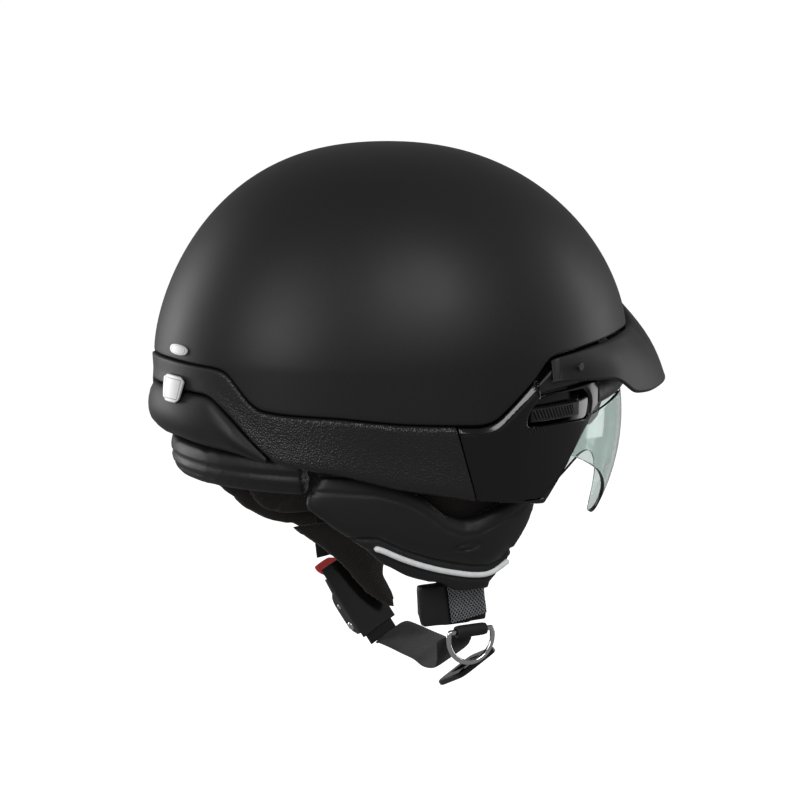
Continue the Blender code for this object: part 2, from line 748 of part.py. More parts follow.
def strap_sleeve():
    """Leather-look sleeve round the right strap, under the curtain."""
    outer = []
    inner = []
    for z, y in ((-0.1210, 0.0060), (-0.1320, 0.0050), (-0.1430, 0.0035)):
        ys = (y - 0.0205, y - 0.008, y + 0.008, y + 0.0205)
        lift = (0.0, 0.0022, 0.0022, 0.0)
        outer.append([(-0.0745 - f, v, z) for v, f in zip(ys, lift)])
        inner.append([(-0.0700 + f, v, z) for v, f in zip(ys, lift)])
    return closed_loft("strap_sleeve_right", outer, inner, LEATHER)


def mesh_patch():
    """Reflective mesh webbing that lies on the sleeve and holds the D-ring."""
    path = [(-0.0785, 0.0000, -0.1200), (-0.0785, -0.0015, -0.1300), (-0.0785, -0.0030, -0.1400)]
    return ribbon("reflective_webbing", path, 0.0220, 0.0014, (0, 1, -0.06), WEBBING)


def ring_loop():
    """Folded end of the mesh webbing: it goes round the D-ring's straight bar."""
    loop = cylinder("webbing_loop", (-0.0785, -0.0040, RING_Z), "Y", 0.0034, 0.0180, WEBBING, sides=16)
    bore = RING_WIRE + 0.0005
    hole = cylinder("webbing_loop_bore", (-0.0785, -0.0040, RING_Z), "Y", bore, 0.03, WEBBING, sides=16)
    cut(loop, hole)
    return loop


def d_ring():
    """Chrome D-ring that hangs in the webbing's loop."""
    half = 0.0125
    depth = 0.0175
    path = [(0, -half, 0), (0, half, 0), (0, half + 0.001, -0.004)]
    for i in range(1, 12):
        a = pi * i / 12
        path.append((0, (half + 0.001) * cos(a), -0.004 - (depth - 0.004) * sin(a)))
    path.append((0, -half - 0.001, -0.004))
    data = bpy.data.curves.new("d_ring", "CURVE")
    data.dimensions = "3D"
    data.bevel_depth = RING_WIRE
    data.bevel_resolution = 2
    spline = data.splines.new("POLY")
    spline.points.add(len(path) - 1)
    for point, p in zip(spline.points, path):
        point.co = (*p, 1.0)
    spline.use_cyclic_u = True
    data.materials.append(CHROME)
    obj = bpy.data.objects.new("d_ring", data)
    parts.objects.link(obj)
    obj.location = (-0.0785, -0.0040, RING_Z)
    return obj


def chin_band():
    """Webbing that goes under the chin, from the right sleeve to the ratchet strap."""
    path = [(-0.0722, 0.0025, -0.1505), (-0.0690, 0.0010, -0.1590), (-0.0610, -0.0012, -0.1648),
            (-0.0400, -0.0073, -0.1700), (-0.0180, -0.0135, -0.1719), (0.0050, -0.0181, -0.1743),
            (0.0250, -0.0208, -0.1756), (0.0400, -0.0224, -0.1768), (0.0440, -0.0222, -0.1780)]
    return ribbon("chin_band", path, 0.0230, 0.0022, (0, 0.90, -0.44), WEBBING)


def lower_strap_left():
    """Webbing between the left strap and the buckle's upper end."""
    path = [(0.0665, 0.0050, -0.1215), (0.0667, 0.0042, -0.1280), (0.0668, 0.0035, -0.1330)]
    return ribbon("lower_strap_left", path, 0.0200, 0.0016, (0, 1, 0.15), WEBBING)


def strap_pad_left():
    """Ribbed comfort pad between the jaw and the left strap and buckle."""
    outer = []
    inner = []
    for z, y0, y1, x in ((-0.1125, -0.0300, 0.0330, 0.0645), (-0.1200, -0.0300, 0.0235, 0.0645),
                         (-0.1295, -0.0300, 0.0110, 0.0640), (-0.1360, -0.0285, 0.0040, 0.0607),
                         (-0.1395, -0.0150, 0.0010, 0.0592), (-0.1460, -0.0212, -0.0035, 0.0567),
                         (-0.1550, -0.0265, -0.0105, 0.0522), (-0.1625, -0.0285, -0.0185, 0.0472)):
        ys = np.linspace(y0, y1, 6)
        fat = 0.0030 + 0.0030 * np.sin(np.linspace(0, pi, 6))
        outer.append([(x, y, z) for y in ys])
        inner.append([(x - f, y, z) for y, f in zip(ys, fat)])
    return closed_loft("strap_pad_left", outer, inner, LINING)


def strap_adjuster():
    """Flat adjuster through which the strap's free end passes."""
    plate = box("strap_adjuster", (-0.0150, -0.0140, -0.0016), (0.0150, 0.0140, 0.0016), BLACK_SATIN, 0.0008)
    plate.rotation_euler = (radians(-26), radians(24), 0)
    plate.location = (-0.0560, -0.0150, -0.1735)
    return plate


# ---------------------------------------------------------------- ratchet buckle
# The buckle is drawn flat, then turned and moved to hang at the wearer's left jaw.
# Its own axes: x across the strap, y along it towards the helmet, z outward.
TAB_FLARE = radians(62)    # the release tab stands out from the lever by this angle


def buckle_turn():
    """Axes of the hanging buckle: it follows the jaw down, forward and inward."""
    up = Vector((0.34, 0.42, 0.84)).normalized()
    out = Vector((0.90, 0.0, -0.36))
    out = (out - up * out.dot(up)).normalized()
    across = up.cross(out)
    return Matrix((across, up, out)).transposed().to_4x4()


def buckle_part(obj):
    """Move a piece from the buckle's own axes to its place on the left strap."""
    bpy.context.view_layer.update()
    obj.matrix_world = Matrix.Translation(BUCKLE_AT) @ buckle_turn() @ obj.matrix_world


def ratchet_buckle():
    """Base, cheeks, lever on its pin, red release tab and toothed strap of the chin buckle."""
    w = 0.0125
    base = box("buckle_base", (-w, -0.0230, -0.0012), (w, 0.0230, 0.0), BLACK_GLOSS, 0.0004)
    buckle_part(base)
    for tag, x in (("front", -w), ("rear", w - 0.0018)):
        cheek = box("buckle_cheek_" + tag, (x, -0.0200, 0.0003), (x + 0.0018, 0.0080, 0.0090), BLACK_GLOSS)
        buckle_part(cheek)
    toothed = box("ratchet_strap", (-w + 0.0028, -0.0290, 0.0004), (w - 0.0028, 0.0060, 0.0024), BLACK_SATIN)
    buckle_part(toothed)
    lever = box("buckle_lever", (-w + 0.0024, -0.0150, 0.0040), (w - 0.0024, 0.0165, 0.0064), BLACK_GLOSS)
    hub = cylinder("buckle_lever_hub", (0, -0.0140, 0.0058), "X", 0.0028, 0.0202, BLACK_GLOSS, sides=20)
    bore = cylinder("buckle_lever_bore", (0, -0.0140, 0.0058), "X", 0.0018, 0.0300, BLACK_GLOSS, sides=16)
    for piece in (lever, hub, bore):
        buckle_part(piece)
    join(lever, hub)
    cut(lever, bore)
    pin = cylinder("buckle_pin", (0, -0.0140, 0.0058), "X", 0.0014, 0.0206, STEEL, sides=12)
    buckle_part(pin)
    tab = box("release_tab", (-w + 0.0045, 0.0, -0.0010), (w - 0.0045, 0.0140, 0.0010), RED, 0.0006)
    bpy.context.view_layer.update()
    tab.matrix_world = (Matrix.Translation((0, 0.0180, 0.0058)) @ Matrix.Rotation(TAB_FLARE, 4, "X")
                        @ tab.matrix_world)
    buckle_part(tab)


def build_parts():
    outer_shell()
    horseshoe_trim()
    rear_skirt()
    peak()
    brow_frame()
    for side, tag in ((-1, "right"), (1, "left")):
        side_panel(side, "side_panel_" + tag)
        slider_track(side, "slider_track_" + tag)
        visor_lever(side, "visor_lever_" + tag)
        visor_hub(side, "visor_hub_" + tag)
        pivot_bracket(side, "pivot_bracket_" + tag)
        pivot_screw(side, "pivot_screw_" + tag)
        ear_curtain(side, "ear_curtain_" + tag)
        ear_pad(side, "ear_pad_" + tag)
        piping(side, "curtain_piping_" + tag)
        strap_anchor(side, "strap_anchor_" + tag)
        hanging_strap(side, "strap_webbing_" + tag)
    skin_plate("rear_badge", 175.3, [(0.0027, 0.0010, 4.6), (0.0082, 0.0010, 4.6)], 0.0008, SILVER)
    skin_plate("rear_label", 176.2, [(-0.0222, 0.0050, 4.0), (-0.0151, 0.0035, 5.0), (-0.0080, 0.0020, 5.8)],
               0.0006, SILVER)
    skin_disc("peak_screw_right", 68.5, -0.0035, 0.0054, 0.0022, 0.0012, BLACK_SATIN)
    skin_disc("peak_screw_left", -68.5, -0.0035, 0.0054, 0.0022, 0.0012, BLACK_SATIN)
    sun_visor()
    impact_liner()
    crown_pad()
    head_band()
    neck_roll()
    strap_sleeve()
    mesh_patch()
    ring_loop()
    d_ring()
    chin_band()
    strap_adjuster()
    lower_strap_left()
    strap_pad_left()
    ratchet_buckle()


clear_scene()
parts = collection(PARTS)
cutters = collection("cutters")
BLACK_MATT = material("matt_black", (0.014, 0.014, 0.015), 0.55)
BLACK_GRAIN = material("grained_black", (0.018, 0.018, 0.019), 0.45)
BLACK_GLOSS = material("gloss_black", (0.006, 0.006, 0.007), 0.12)
BLACK_SATIN = material("satin_black", (0.02, 0.02, 0.02), 0.4)
SMOKE = material("smoke_lens", (0.10, 0.12, 0.11), 0.08)
STEEL = material("steel", (0.55, 0.55, 0.56), 0.3, 1.0)
FOAM = material("impact_foam", (0.03, 0.03, 0.03), 0.9)
LINING = material("lining", (0.05, 0.045, 0.042), 0.95)
LEATHER = material("leather_look", (0.012, 0.012, 0.013), 0.5)
WEBBING = material("webbing", (0.02, 0.02, 0.02), 0.85)
SILVER = material("silver_label", (0.6, 0.6, 0.62), 0.35, 0.6)
CHROME = material("chrome", (0.8, 0.8, 0.8), 0.1, 1.0)
RED = material("red_plastic", (0.6, 0.01, 0.01), 0.4)
WHITE_PIPING = material("white_piping", (0.85, 0.86, 0.88), 0.4)
build_parts()
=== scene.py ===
import bmesh
import bpy
import numpy as np
from math import cos, pi, radians, sin, sqrt
from mathutils import Matrix, Vector


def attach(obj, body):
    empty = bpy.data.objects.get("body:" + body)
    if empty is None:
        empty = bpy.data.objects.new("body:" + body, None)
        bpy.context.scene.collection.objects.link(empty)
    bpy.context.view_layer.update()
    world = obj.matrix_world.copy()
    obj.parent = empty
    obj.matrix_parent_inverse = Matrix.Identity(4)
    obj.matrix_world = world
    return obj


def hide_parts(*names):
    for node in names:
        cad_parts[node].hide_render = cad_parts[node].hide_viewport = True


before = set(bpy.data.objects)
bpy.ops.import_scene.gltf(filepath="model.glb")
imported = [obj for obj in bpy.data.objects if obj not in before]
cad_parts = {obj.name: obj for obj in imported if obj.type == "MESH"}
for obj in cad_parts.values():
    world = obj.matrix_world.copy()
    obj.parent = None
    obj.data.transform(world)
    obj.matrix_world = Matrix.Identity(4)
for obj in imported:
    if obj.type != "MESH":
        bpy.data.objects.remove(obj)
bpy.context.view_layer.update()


# ================================================================ camera, light and floor
# The helmet hangs where a head would hold it, over a plain pale floor. The camera stands
# behind the wearer's right shoulder, and two large soft boxes light the dark mouldings.
VIEW_AZ, VIEW_EL = radians(-119), radians(9.5)
CAMERA_FAR = 1.5
LENS_MM = 122.8
back = Vector((sin(VIEW_AZ) * cos(VIEW_EL), -cos(VIEW_AZ) * cos(VIEW_EL), sin(VIEW_EL)))
right = Vector((0, 0, 1)).cross(back).normalized()
up = back.cross(right)
aim = right * 0.0038 - up * 0.0330
camera_data = bpy.data.cameras.new("camera")
camera_data.lens = LENS_MM
camera = bpy.data.objects.new("camera", camera_data)
bpy.context.scene.collection.objects.link(camera)
camera.matrix_world = (Matrix.Translation(aim + back * CAMERA_FAR)
                       @ Matrix((right, up, back)).transposed().to_4x4())
bpy.context.scene.camera = camera


def soft_box(name, place, size, power, target=(0, 0, 0)):
    """A rectangular area light at place that faces target."""
    data = bpy.data.lights.new(name, "AREA")
    data.shape = "RECTANGLE"
    data.size, data.size_y = size
    data.energy = power
    lamp = bpy.data.objects.new(name, data)
    lamp.location = place
    lamp.rotation_euler = (Vector(target) - Vector(place)).to_track_quat("-Z", "Y").to_euler()
    bpy.context.scene.collection.objects.link(lamp)
    return lamp


soft_box("rear_box", tuple(back * 1.1 - right * 0.95 + Vector((0, 0, 0.38))), (0.7, 0.9), 7.5)
soft_box("front_box", tuple(back * 1.2 + right * 0.70 + Vector((0, 0, 0.80))), (0.8, 0.6), 8.5)
soft_box("left_rim", tuple(-right * 1.5 - back * 0.9 + Vector((0, 0, 0.3))), (0.5, 1.2), 10)
soft_box("right_rim", tuple(right * 1.5 - back * 0.8 + Vector((0, 0, 0.3))), (0.5, 1.2), 5)

world = bpy.data.worlds.new("white studio")
bpy.context.scene.world = world
world.use_nodes = True
sky = world.node_tree
sky.nodes.clear()
sky_out = sky.nodes.new("ShaderNodeOutputWorld")
sky_mix = sky.nodes.new("ShaderNodeMixShader")
sky_path = sky.nodes.new("ShaderNodeLightPath")
sky_light = sky.nodes.new("ShaderNodeBackground")
sky_light.inputs["Color"].default_value = (1, 1, 1, 1)
sky_light.inputs["Strength"].default_value = 0.20
sky_seen = sky.nodes.new("ShaderNodeBackground")
sky_seen.inputs["Color"].default_value = (1, 1, 1, 1)
sky_seen.inputs["Strength"].default_value = 1.0
sky.links.new(sky_path.outputs["Is Camera Ray"], sky_mix.inputs["Fac"])
sky.links.new(sky_light.outputs["Background"], sky_mix.inputs[1])
sky.links.new(sky_seen.outputs["Background"], sky_mix.inputs[2])
sky.links.new(sky_mix.outputs["Shader"], sky_out.inputs["Surface"])
bpy.context.scene.view_settings.view_transform = "Standard"

FLOOR_Z = -0.42
bpy.ops.mesh.primitive_plane_add(size=90, location=(0, 0, FLOOR_Z))
floor = bpy.context.object
floor.name = "floor"
floor_paint = bpy.data.materials.new("pale floor")
floor_paint.use_nodes = True
floor_shader = floor_paint.node_tree.nodes["Principled BSDF"]
floor_shader.inputs["Base Color"].default_value = (0.90, 0.90, 0.90, 1)
floor_shader.inputs["Roughness"].default_value = 0.9
floor_shader.inputs["Specular IOR Level"].default_value = 0.1
floor_shader.inputs["Emission Color"].default_value = (1, 1, 1, 1)
floor_shader.inputs["Emission Strength"].default_value = 0.85
floor.data.materials.append(floor_paint)
floor.visible_diffuse = False
floor.visible_glossy = False


# ================================================================ outer shell
# The dome is one moulding of tough plastic, 3 mm thick, sprayed matt black. Its lower edge
# is rolled into the groove over the trims, and a short flange runs down behind them.
SHELL_X, SHELL_Y, SHELL_Z = 0.113, 0.134, 0.1089
SEAM = [(0, 0.020), (14, 0.019), (22, 0.014), (27, 0.008), (43, 0.0082), (61, 0.0058),
        (75.6, 0.0026), (80.6, -0.0094), (85.8, -0.0193), (90.7, -0.0282), (94.2, -0.0297),
        (113, -0.0268), (127, -0.0234), (141, -0.0223), (147, -0.0209), (149.5, -0.0177),
        (153.5, -0.0090), (156.6, -0.0022), (160, -0.0009), (171, -0.0003), (180, 0.0)]


def eased(points, blur=1.1):
    """Function of the angle: straight between the points, with corners rounded by a Gaussian
    running mean of width blur in degrees. It mirrors at the front and at the rear."""
    fine = np.arange(-40, 220.1, 0.1)
    folded = np.abs(fine)
    folded = np.where(folded > 180, 360 - folded, folded)
    raw = np.interp(folded, [p[0] for p in points], [p[1] for p in points])
    taps = np.arange(-40, 41) * 0.1
    weight = np.exp(-0.5 * (taps / blur) ** 2)
    soft = np.convolve(raw, weight / weight.sum(), mode="same")
    return lambda a: np.interp(fold(a), fine, soft)


def fold(angle):
    """Angle from the front, 0 to 180, for any angle in degrees."""
    a = np.abs(np.asarray(angle, float)) % 360
    return np.where(a > 180, 360 - a, a)


seam = eased(SEAM)


def plan_scale(z, off=0.0):
    """Size of the shell's plan by height: (1 - (z / top) ^ 1.70) ^ 0.437 above z = 0, and a
    parabola that tucks in below it."""
    above = np.clip(1 - (np.clip(z, 0, None) / (SHELL_Z + off)) ** 1.70, 0, None) ** 0.437
    return np.where(np.asarray(z) > 0, above, 1 - 1.6 * np.asarray(z) ** 2)


def lean(z):
    """How far the plan's middle lies behind the origin: a small parabola of the height."""
    rise = np.clip(z, 0, None)
    return rise * (0.82 * rise - 0.0346)


def skin(angle, z, off=0.0):
    """Points of the shell's outside moved out by off: an ellipse in plan whose size follows
    plan_scale. Arrays in, (..., 3) out."""
    a, z, off = np.broadcast_arrays(np.radians(angle), z, off)
    k = plan_scale(z, off)
    return np.stack([-(SHELL_X + off) * k * np.sin(a),
                     lean(z) - (SHELL_Y + off) * k * np.cos(a), z + 0 * a], axis=-1)


def surface(name, grid, body, stands_for=(), ring=False, pole=None, inside=(0, 0, -0.03)):
    """Open surface through a grid of points, rows by columns, turned to face away from inside.
    ring joins the last column to the first and pole closes the last row."""
    rows, cols = grid.shape[:2]
    index = np.arange(rows * cols).reshape(rows, cols)
    if ring:
        index = np.concatenate([index, index[:, :1]], axis=1)
    quads = np.stack([index[:-1, :-1], index[:-1, 1:], index[1:, 1:], index[1:, :-1]], axis=-1)
    faces = quads.reshape(-1, 4).tolist()
    points = grid.reshape(-1, 3)
    if pole is not None:
        points = np.vstack([points, pole])
        top = index[-1]
        tip = np.full(len(top) - 1, len(points) - 1)
        faces += np.stack([top[:-1], top[1:], tip], axis=-1).tolist()
    mesh = bpy.data.meshes.new(name)
    mesh.from_pydata(points.tolist(), [], faces)
    mesh.update()
    middles = np.array([f.center for f in mesh.polygons]) - np.array(inside)
    normals = np.array([f.normal for f in mesh.polygons])
    if (middles * normals).sum() < 0:
        mesh.flip_normals()
    mesh.shade_smooth()
    return piece(name, mesh, body, stands_for)


def piece(name, mesh, body, stands_for=()):
    """Link a mesh as a piece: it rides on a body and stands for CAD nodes."""
    obj = bpy.data.objects.new(name, mesh)
    bpy.context.scene.collection.objects.link(obj)
    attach(obj, body)
    if stands_for:
        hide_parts(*stands_for)
    return obj


def thicken(obj, wall, edge=0.0, segments=3):
    """Give an open surface a wall on its inner side and round the wall's edges."""
    solid = obj.modifiers.new("wall", "SOLIDIFY")
    solid.thickness = wall
    solid.offset = -1
    if edge:
        mod = obj.modifiers.new("rounded edges", "BEVEL")
        mod.width = edge
        mod.segments = segments
        mod.limit_method = "ANGLE"
        mod.angle_limit = radians(50)
        mod.harden_normals = False
    return obj


def finish_material(name, colour, roughness, metallic=0.0, specular=0.5, coat=0.0, coat_rough=0.1,
                    sheen=0.0):
    """A Principled material with its plain values set on the sockets. Returns it with its nodes."""
    mat = bpy.data.materials.new(name)
    mat.use_nodes = True
    shader = mat.node_tree.nodes["Principled BSDF"]
    shader.inputs["Base Color"].default_value = (*colour, 1)
    shader.inputs["Roughness"].default_value = roughness
    shader.inputs["Metallic"].default_value = metallic
    shader.inputs["Specular IOR Level"].default_value = specular
    shader.inputs["Coat Weight"].default_value = coat
    shader.inputs["Coat Roughness"].default_value = coat_rough
    shader.inputs["Sheen Weight"].default_value = sheen
    return mat


def noise(mat, scale, detail=3.0, rough=0.5):
    """Noise on Object coordinates. Returns its factor socket."""
    tree = mat.node_tree
    place = tree.nodes.new("ShaderNodeTexCoord")
    node = tree.nodes.new("ShaderNodeTexNoise")
    node.inputs["Scale"].default_value = scale
    node.inputs["Detail"].default_value = detail
    node.inputs["Roughness"].default_value = rough
    tree.links.new(place.outputs["Object"], node.inputs["Vector"])
    return node.outputs["Fac"]


def spread(mat, factor, low, high, start=0.3, stop=0.7):
    """Map a factor from start..stop to low..high. Returns the result socket."""
    node = mat.node_tree.nodes.new("ShaderNodeMapRange")
    node.inputs["From Min"].default_value = start
    node.inputs["From Max"].default_value = stop
    node.inputs["To Min"].default_value = low
    node.inputs["To Max"].default_value = high
    mat.node_tree.links.new(factor, node.inputs["Value"])
    return node.outputs["Result"]


def blend_colour(mat, factor, first, second):
    """Mix two colours by a factor into the base colour."""
    node = mat.node_tree.nodes.new("ShaderNodeMix")
    node.data_type = "RGBA"
    node.inputs["A"].default_value = (*first, 1)
    node.inputs["B"].default_value = (*second, 1)
    mat.node_tree.links.new(factor, node.inputs["Factor"])
    shader = mat.node_tree.nodes["Principled BSDF"]
    mat.node_tree.links.new(node.outputs["Result"], shader.inputs["Base Color"])
    return node


def bump(mat, height, depth, strength=1.0):
    """Bump of a given depth in metres from a height socket, chained before any earlier bump."""
    tree = mat.node_tree
    shader = tree.nodes["Principled BSDF"]
    node = tree.nodes.new("ShaderNodeBump")
    node.inputs["Distance"].default_value = depth
    node.inputs["Strength"].default_value = strength
    tree.links.new(height, node.inputs["Height"])
    if shader.inputs["Normal"].is_linked:
        tree.links.new(shader.inputs["Normal"].links[0].from_socket, node.inputs["Normal"])
    tree.links.new(node.outputs["Normal"], shader.inputs["Normal"])
    return node


matt_paint = finish_material("matt black paint", (0.0115, 0.0112, 0.0115), 0.5, specular=0.42)
matt_shader = matt_paint.node_tree.nodes["Principled BSDF"]
matt_paint.node_tree.links.new(spread(matt_paint, noise(matt_paint, 14, 4), 0.44, 0.52),
                               matt_shader.inputs["Roughness"])
blend_colour(matt_paint, spread(matt_paint, noise(matt_paint, 900, 2), 0, 1),
             (0.0100, 0.0098, 0.0100), (0.0132, 0.0128, 0.0132))
bump(matt_paint, noise(matt_paint, 2600, 2), 0.00003, 0.35)

turn = np.arange(-180, 180, 1.2)
rise = np.concatenate([np.linspace(0, 0.12, 14)[1:], np.linspace(0.12, 0.985, 46)[1:]])
flange = np.interp(fold(turn), [0, 88, 94, 180], [0.0014, 0.0014, 0.010, 0.010])
edge_rows = [skin(turn, seam(turn) - flange, -0.0036), skin(turn, seam(turn) - 0.0010, -0.0036),
             skin(turn, seam(turn) - 0.0001, -0.0030), skin(turn, seam(turn), -0.0012),
             skin(turn, seam(turn) + 0.00012, -0.0005), skin(turn, seam(turn) + 0.0005, -0.0001),
             skin(turn, seam(turn) + 0.0012, 0.0)]
crown_rows = [skin(turn, seam(turn) + 0.0012 + (SHELL_Z - seam(turn) - 0.0012) * np.sin(pi / 2 * t))
              for t in rise]
shell_piece = surface("shell_dome", np.array(edge_rows + crown_rows), "helmet", ["outer_shell"],
                      ring=True, pole=(0, float(lean(SHELL_Z)), SHELL_Z))
thicken(shell_piece, 0.0026)
shell_piece.data.materials.append(matt_paint)


# ================================================================ horseshoe trim
# A grained plastic moulding that wraps the shell's sides and rear, held by clips under its
# rolled edges. The coarse grain fades out to smooth matt paint over the rear.
BOTTOM = [(60, -0.079), (76.7, -0.0755), (95.7, -0.0699), (101.6, -0.0667), (114.4, -0.0611),
          (126.5, -0.0541), (142.5, -0.0489), (160, -0.0450), (180, -0.0428)]
CREASE = [(142.5, -0.0489), (145.5, -0.0448), (154.4, -0.0281), (160.7, -0.0182),
          (163, -0.0162), (180, -0.0155)]
bottom = eased(BOTTOM)
crease = eased(CREASE)
SEAM_GAP = 0.0007


def trim_low(a):
    """Lower edge of the trim: the helmet's bottom line, then the crease over the skirt."""
    soft = np.clip((fold(a) - 141.5) / 3.0, 0, 1)
    return bottom(a) * (1 - soft) + (crease(a) + 0.0003) * soft


def set_weight(obj, name, values):
    """Store one number per point as an attribute that a material can read."""
    layer = obj.data.attributes.new(name, "FLOAT", "POINT")
    layer.data.foreach_set("value", np.asarray(values, np.float32).ravel())


def attribute(mat, name):
    node = mat.node_tree.nodes.new("ShaderNodeAttribute")
    node.attribute_name = name
    return node.outputs["Fac"]


turn = np.linspace(100.7, 259.3, 300)
climb = np.array([0, .012, .03, .055, .085, .12, .2, .3, .4, .5, .6, .7, .8, .88, .93, .96, .98, .992, 1])
lift = np.interp(climb, [0, .012, .03, .055, .085, .12, .5, .93, .96, .98, .992, 1],
                 [-.0028, -.0013, -.0002, .0005, .0009, .0011, .0007, .0011, .0009, .0004, -.0003, -.0014])
A, S = np.meshgrid(turn, climb)
slant = -5.2 * (1 - S) * np.clip((114 - fold(A)) / 12.8, 0, 1)
real = A + slant * np.where(A < 180, 1, -1)
low = trim_low(real)
height = low + (seam(real) - SEAM_GAP - low) * S
trim_piece = surface("grained_trim", skin(real, height, lift[:, None]), "helmet", ["horseshoe_trim"])
set_weight(trim_piece, "grain", np.clip((166 - fold(real)) / 16, 0, 1))
thicken(trim_piece, 0.0024, 0.0003)

grained = finish_material("grained plastic", (0.0135, 0.0132, 0.0135), 0.42, specular=0.5)
tree = grained.node_tree
cells = tree.nodes.new("ShaderNodeTexVoronoi")
cells.inputs["Scale"].default_value = 1050
place = tree.nodes.new("ShaderNodeTexCoord")
tree.links.new(place.outputs["Object"], cells.inputs["Vector"])
grain_bump = bump(grained, cells.outputs["Distance"], 0.00030)
tree.links.new(spread(grained, attribute(grained, "grain"), 0.06, 1.0, 0, 1), grain_bump.inputs["Strength"])
bump(grained, noise(grained, 2400, 3), 0.00006, 0.5)
rough_mix = spread(grained, attribute(grained, "grain"), 0.50, 0.30, 0, 1)
tree.links.new(rough_mix, tree.nodes["Principled BSDF"].inputs["Roughness"])
trim_piece.data.materials.append(grained)


# ================================================================ rear skirt
# The lower rear bulges over the neck roll. It is moulded apart from the trim, painted like
# the dome, and clipped in under the trim's crease.
turn = np.linspace(145.2, 214.8, 150)
climb = np.array([0, .02, .05, .09, .14, .2, .3, .4, .5, .6, .7, .8, .87, .92, .96, .985, 1])
lift = np.interp(climb, [0, .02, .05, .14, .35, .55, .75, .88, .96, 1],
                 [-.0012, .0002, .0010, .0024, .0038, .0036, .0020, -.0008, -.0036, -.0060])
A, S = np.meshgrid(turn, climb)
narrow = np.clip((fold(A) - 145.2) / 9, 0.12, 1)
top = crease(A) - 0.0004
height = top + (bottom(A) - top) * S
skirt_piece = surface("rear_skirt_shell", skin(A, height, lift[:, None] * narrow + 0.0002), "helmet",
                      ["rear_skirt"])
thicken(skirt_piece, 0.0024, 0.0003)
skirt_piece.data.materials.append(matt_paint)


# ================================================================ badge and label
# Two stickers at the rear: a small rounded one on the dome and a tapered one over the crease.
# They are metallised film with a plain printed border, bent to the mouldings.
def plate(name, centre, edges, thick, stands_for, corner):
    """A bent plate: across runs over the width at each height between the edges, given as
    (height, offset, half width in degrees). Corners are rounded by a superellipse of that power."""
    s = np.linspace(-1, 1, 41)
    t = np.linspace(-1, 1, 41)
    S, T = np.meshgrid(s, t)
    u = S * (1 - 0.5 * T * T) ** (1 / corner) if corner < 3 else S * (1 - np.abs(T) ** corner * 0.22)
    v = T * (1 - 0.5 * S * S) ** (1 / corner) if corner < 3 else T * (1 - np.abs(S) ** corner * 0.16)
    zs, offs, halves = np.array(edges).T
    z = zs[0] + (zs[-1] - zs[0]) * (v + 1) / 2
    grid = skin(centre + u * np.interp(z, zs, halves), z, np.interp(z, zs, offs))
    obj = surface(name, grid, "helmet", [stands_for])
    set_weight(obj, "border", np.maximum(np.abs(S), np.abs(T)))
    set_weight(obj, "across", S)
    set_weight(obj, "along", T)
    thicken(obj, thick)
    return obj


film = finish_material("silver film", (0.62, 0.62, 0.63), 0.34, metallic=0.35)
film_shader = film.node_tree.nodes["Principled BSDF"]
ink = film.node_tree.nodes.new("ShaderNodeValToRGB")
ink.color_ramp.interpolation = "CONSTANT"
for stop, tone in ((0.0, 0.62), (0.70, 0.10), (0.745, 0.62), (0.94, 0.06), (0.97, 0.45)):
    mark = ink.color_ramp.elements.new(stop) if stop else ink.color_ramp.elements[0]
    mark.color = (tone, tone, tone, 1)
ink.color_ramp.elements.remove(ink.color_ramp.elements[-1])
film.node_tree.links.new(attribute(film, "border"), ink.inputs["Fac"])
film.node_tree.links.new(ink.outputs["Color"], film_shader.inputs["Base Color"])
bump(film, noise(film, 1500, 2), 0.00002, 0.4)
badge = plate("dome_badge", 175.3, [(0.0027, 0.0007, 4.6), (0.0082, 0.0007, 4.6)], 0.0006, "rear_badge", 2.4)
label = plate("rear_sticker", 176.2, [(-0.0222, 0.0046, 4.0), (-0.0151, 0.0034, 5.0), (-0.0080, 0.0020, 5.8)],
              0.0005, "rear_label", 8)
for sticker in (badge, label):
    sticker.data.materials.append(film)


# ================================================================ side panels
# A gloss black panel covers each visor pivot. It is injection moulded, with a bevelled rib
# along the seam, and has a window for the visor's thumb slider.
PANEL_LOW = [(57.0, -0.0281), (62.3, -0.0356), (69.3, -0.0580), (76.7, -0.0754), (95.2, -0.0698),
             (99.9, -0.0335)]
WINDOW = [(61.5, -0.0334), (81.6, -0.0334), (82.3, -0.0305), (81.2, -0.0245), (77.5, -0.0175),
          (62.5, -0.0175), (60.4, -0.0240)]
DEGREE = 0.00208            # metres along the skin for one degree at the sides


def brow_low(a):
    """Lower edge of the brow frame: it comes down beside the lens in front of each panel."""
    return np.interp(fold(a), [0, 20, 32, 49, 56.2, 56.6, 62, 79],
                     [-0.006, -0.010, -0.024, -0.0268, -0.0280, -0.0120, -0.014, -0.0165])


def panel_high(a):
    """Top edge of the panel: under the brow frame in front and along the seam behind it."""
    soft = np.clip((fold(a) - 78.9) / 0.9, 0, 1)
    return (brow_low(np.maximum(fold(a), 56.6)) - 0.0006) * (1 - soft) + (seam(a) - 0.0010) * soft


def outline_distance(points, outline):
    """Distance of flat points (..., 2) to the nearest side of a closed outline."""
    start = np.asarray(outline, float)
    side = np.roll(start, -1, axis=0) - start
    gap = points[..., None, :] - start
    share = np.clip((gap * side).sum(-1) / (side ** 2).sum(-1), 0, 1)
    return np.sqrt(((gap - share[..., None] * side) ** 2).sum(-1)).min(-1)


def around(outline, count):
    """Points evenly spread along a closed outline."""
    loop = np.vstack([outline, outline[:1]])
    reach = np.concatenate([[0], np.cumsum(np.linalg.norm(np.diff(loop, axis=0), axis=1))])
    where = np.linspace(0, reach[-1], count, endpoint=False)
    return np.stack([np.interp(where, reach, loop[:, i]) for i in (0, 1)], axis=-1)


